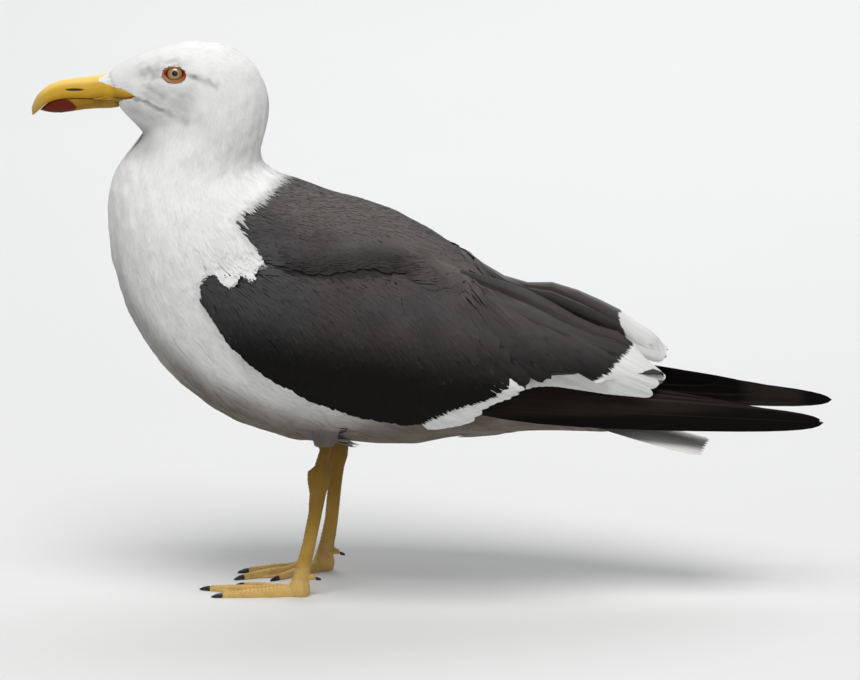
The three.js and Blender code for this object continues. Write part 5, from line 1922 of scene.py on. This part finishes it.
def make_gape(name, side, tree, material):
    """The horny corner of the mouth, which reaches back into the face."""
    bpy.ops.mesh.primitive_grid_add(x_subdivisions=52, y_subdivisions=25, size=2)
    gape = bpy.context.object
    gape.name = f"mouth_corner_{name}"
    flat = points_of(gape)
    x = np.interp(flat[:, 0], [-1, 1], [-208.0, -180.8])
    top, middle, low = (line(table, x) for table in (GAPE_TOP, GAPE_LINE, GAPE_LOW))
    z = np.where(flat[:, 1] > 0, middle + (top - middle) * flat[:, 1], middle + (middle - low) * flat[:, 1])
    points = np.stack([x, 0 * x, z], -1) * MM
    groove = np.exp(-((z - middle) / 0.45) ** 2)
    bulge = 0.5 * np.sqrt(np.clip(1 - flat[:, 1] ** 2, 0, 1)) - 0.75 * groove - 0.1
    bulge = bulge * step(x, -206, -196) + 0.28 * step(x, -182, -190) - 0.95 * step(x, -199, -205)
    for i, point in enumerate(points):
        hit = side_hit(tree, side, point)
        points[i, 1] = abs(hit.y) if hit else 0.008
    # The step from the horn's end to the face is evened out under the plate.
    rows = len(points) // len(np.unique(flat[:, 0].round(4)))
    base = points[:, 1].reshape(rows, -1)
    for _ in range(30):
        base[:, 1:-1] = (base[:, :-2] + base[:, 1:-1] * 2 + base[:, 2:]) / 4
    points[:, 1] = side * (base.ravel() + bulge * MM)
    move_points(gape, points)
    # The same painted highlight and shade as on the bill, and painted shade in the groove of the mouth line.
    write_mark(gape, "rise", np.clip((z - middle) / 13, 0, 0.6))
    write_mark(gape, "hollow", groove * step(x, -183, -188) * 0.5)
    write_mark(gape, "lower", step(middle - z, 0, 0.6))
    write_mark(gape, "red", step(x, -187, -183) * np.exp(-((z - middle) / 0.9) ** 2))
    apply_modifier(gape, "SOLIDIFY", thickness=1.6 * MM, offset=side)
    face_outwards(gape)
    settle(gape, [], material)


# The middle of each leg: x at each height.
SHIN_LINES = {
    "left": [(0, -78.5), (77, -66.0), (97, -63.0)],
    "right": [(0, -71.5), (77, -60.5), (97, -57.5)],
}
# Where each shank meets its foot, in millimetres.
LEG_FOOT = {"left": (-78.5, -33.0), "right": (-71.5, 35.0)}
# How far the right foot stands back and out from its CAD place.
RIGHT_FOOT_SHIFT = (2.8, 6.0)


def with_foot_set(points, name):
    """Points of a leg, of which the lower end is shifted on the right."""
    moved = points.copy()
    if name == "right":
        moved[:, :2] += np.array(RIGHT_FOOT_SHIFT) * MM * step(points[:, 2:] / MM, 72, 16)
    return moved


def make_leg(name, material):
    nodes = [f"shank_{name}", f"foot_{name}", f"hind_toe_{name}"]
    leg = copy_of(f"leg_{name}_skin", nodes)
    fuse(leg, voxel=0.0006, grow=0.0002, smoothing=4)
    points, normals = points_of(leg), normals_of(leg)
    x, y, z = axes_of(points)
    forward = np.clip(-normals[:, 0], 0, 1)
    upward = np.clip(normals[:, 2], 0, 1)
    joint_x, joint_y = LEG_FOOT[name]
    reach = np.hypot(x - joint_x, y - joint_y)
    shin = (z % 2.6) / 2.6
    plate = (reach % 2.4) / 2.4
    on_shin = step(forward, 0.25, 0.6) * step(z, 12, 18)
    on_toe = step(upward, 0.3, 0.7) * step(z, 1.6, 2.6) * step(z, 13, 9) * step(reach, 6, 12)
    height = 0.28 * on_shin * (shin - 0.5) + 0.25 * on_toe * (0.5 - plate)
    groove = np.maximum(on_shin * step(shin, 0.16, 0.0), on_toe * step(plate, 0.85, 1.0))
    moved = points + normals * (height * MM)[:, None]
    # The leg is slim above its ankle, which stands out in front.
    narrow = step(z, 79, 84) * step(z, 98, 93)
    moved[:, 0] += narrow * 3.2 * MM * step(x - line(SHIN_LINES[name], z), 1.0, -4.0)
    moved[:, 2] = np.where(z < 0.4, points[:, 2].clip(0.0), moved[:, 2].clip(0.0))
    move_points(leg, with_foot_set(moved, name))
    write_mark(leg, "groove", groove * 0.6)
    settle(leg, nodes, material)


def make_claws(name, material):
    nodes = [f"claw_{name}_{toe}" for toe in ("hind", "outer", "middle", "inner")]
    claws = copy_of(f"claws_{name}", nodes)
    fuse(claws, voxel=0.0003, grow=0.0001, smoothing=3)
    points = points_of(claws)
    points[:, 2] = points[:, 2].clip(0.0)
    move_points(claws, with_foot_set(points, name))
    settle(claws, nodes, material)


def make_coat(tree):
    """All the feathers, each kind in its own finish."""
    white, dark = white_finish(), dark_finish()
    body, mantle = body_sheet(tree), mantle_sheet(tree)
    part = eye_parting(body)
    for name, start, end, seed, parting in STRETCHES:
        piece = white_coat(name, body, start, end, seed, part if parting else None)
        settle(piece, [], white)
    settle(mantle_coat("mantle_feathers", mantle, 21, slim=False), [], dark)
    settle(mantle_coat("mantle_plumes", mantle, 22, slim=True), [], dark)

    slate_vane = vane_finish("slate_flight_feathers", SLATE_BLUE, SLATE_BROWN, SLATE_PALE, WHITE_TIP)
    tail_vane = vane_finish("tail_vanes", TAIL_WHITE, TAIL_BUFF, TAIL_RIM, TAIL_TIP)
    quill = quill_finish()
    # The two sides differ in their random draws: each seed is one more on the right.
    for order, (name, side) in enumerate(SIDES.items()):
        wing = wing_sheet(side, tree)
        piece = covert_coat(f"covert_feathers_{name}", side, wing, 31 + order, slim=False)
        settle(piece, [], dark)
        piece = covert_coat(f"covert_plumes_{name}", side, wing, 33 + order, slim=True)
        settle(piece, [], dark)
        piece = bend_plumes(f"bend_plumes_{name}", mantle, side, 35 + order)
        settle(piece, [], white)
        settle(thigh_coat(f"thigh_plumes_{name}", side, 37 + order), [], white)
        piece = wing_tertials(f"tertial_feathers_{name}", side, wing, 41 + order)
        settle(piece, [f"wing_{name}_tertials"], slate_vane)
        piece = wing_secondaries(f"secondary_feathers_{name}", side, wing, 51 + order)
        settle(piece, [f"wing_{name}_secondaries"], slate_vane)
        piece = wing_primaries(f"primary_feathers_{name}", side, 61 + order)
        settle(piece, [f"wing_{name}_primaries"], quill)
    settle(tail_feathers("tail_feathers", 71), ["tail"], tail_vane)


def main():
    add_camera()
    add_studio()
    add_floor(floor_finish())
    guide, form, arms = make_form("guide", False), make_form("form", True), copy_of("arms", ARMS)
    move_points(arms, with_sunk_crest(points_of(arms)))
    bill = [copy_of(name, [name]) for name in BILL]
    for piece, part in zip(bill, ("upper", "lower")):
        move_points(piece, bill_set(points_of(piece), part))
    tree, face_tree = tree_of(guide), tree_of(guide, *bill)
    make_skin(form, tree_of(arms), skin_finish())
    for helper in (guide, form, arms, *bill):
        bpy.data.objects.remove(helper)
    make_coat(face_tree)

    horn = bill_finish()
    for part in ("upper", "lower"):
        make_bill(part, horn)
    leg_skin, claw_horn = leg_finish(), claw_finish()
    eye, lid = eye_finish(), lid_finish()
    for name, side in SIDES.items():
        make_eye(name, side, eye)
        make_lids(name, side, tree, lid)
        make_gape(name, side, face_tree, horn)
        make_leg(name, leg_skin)
        make_claws(name, claw_horn)


main()
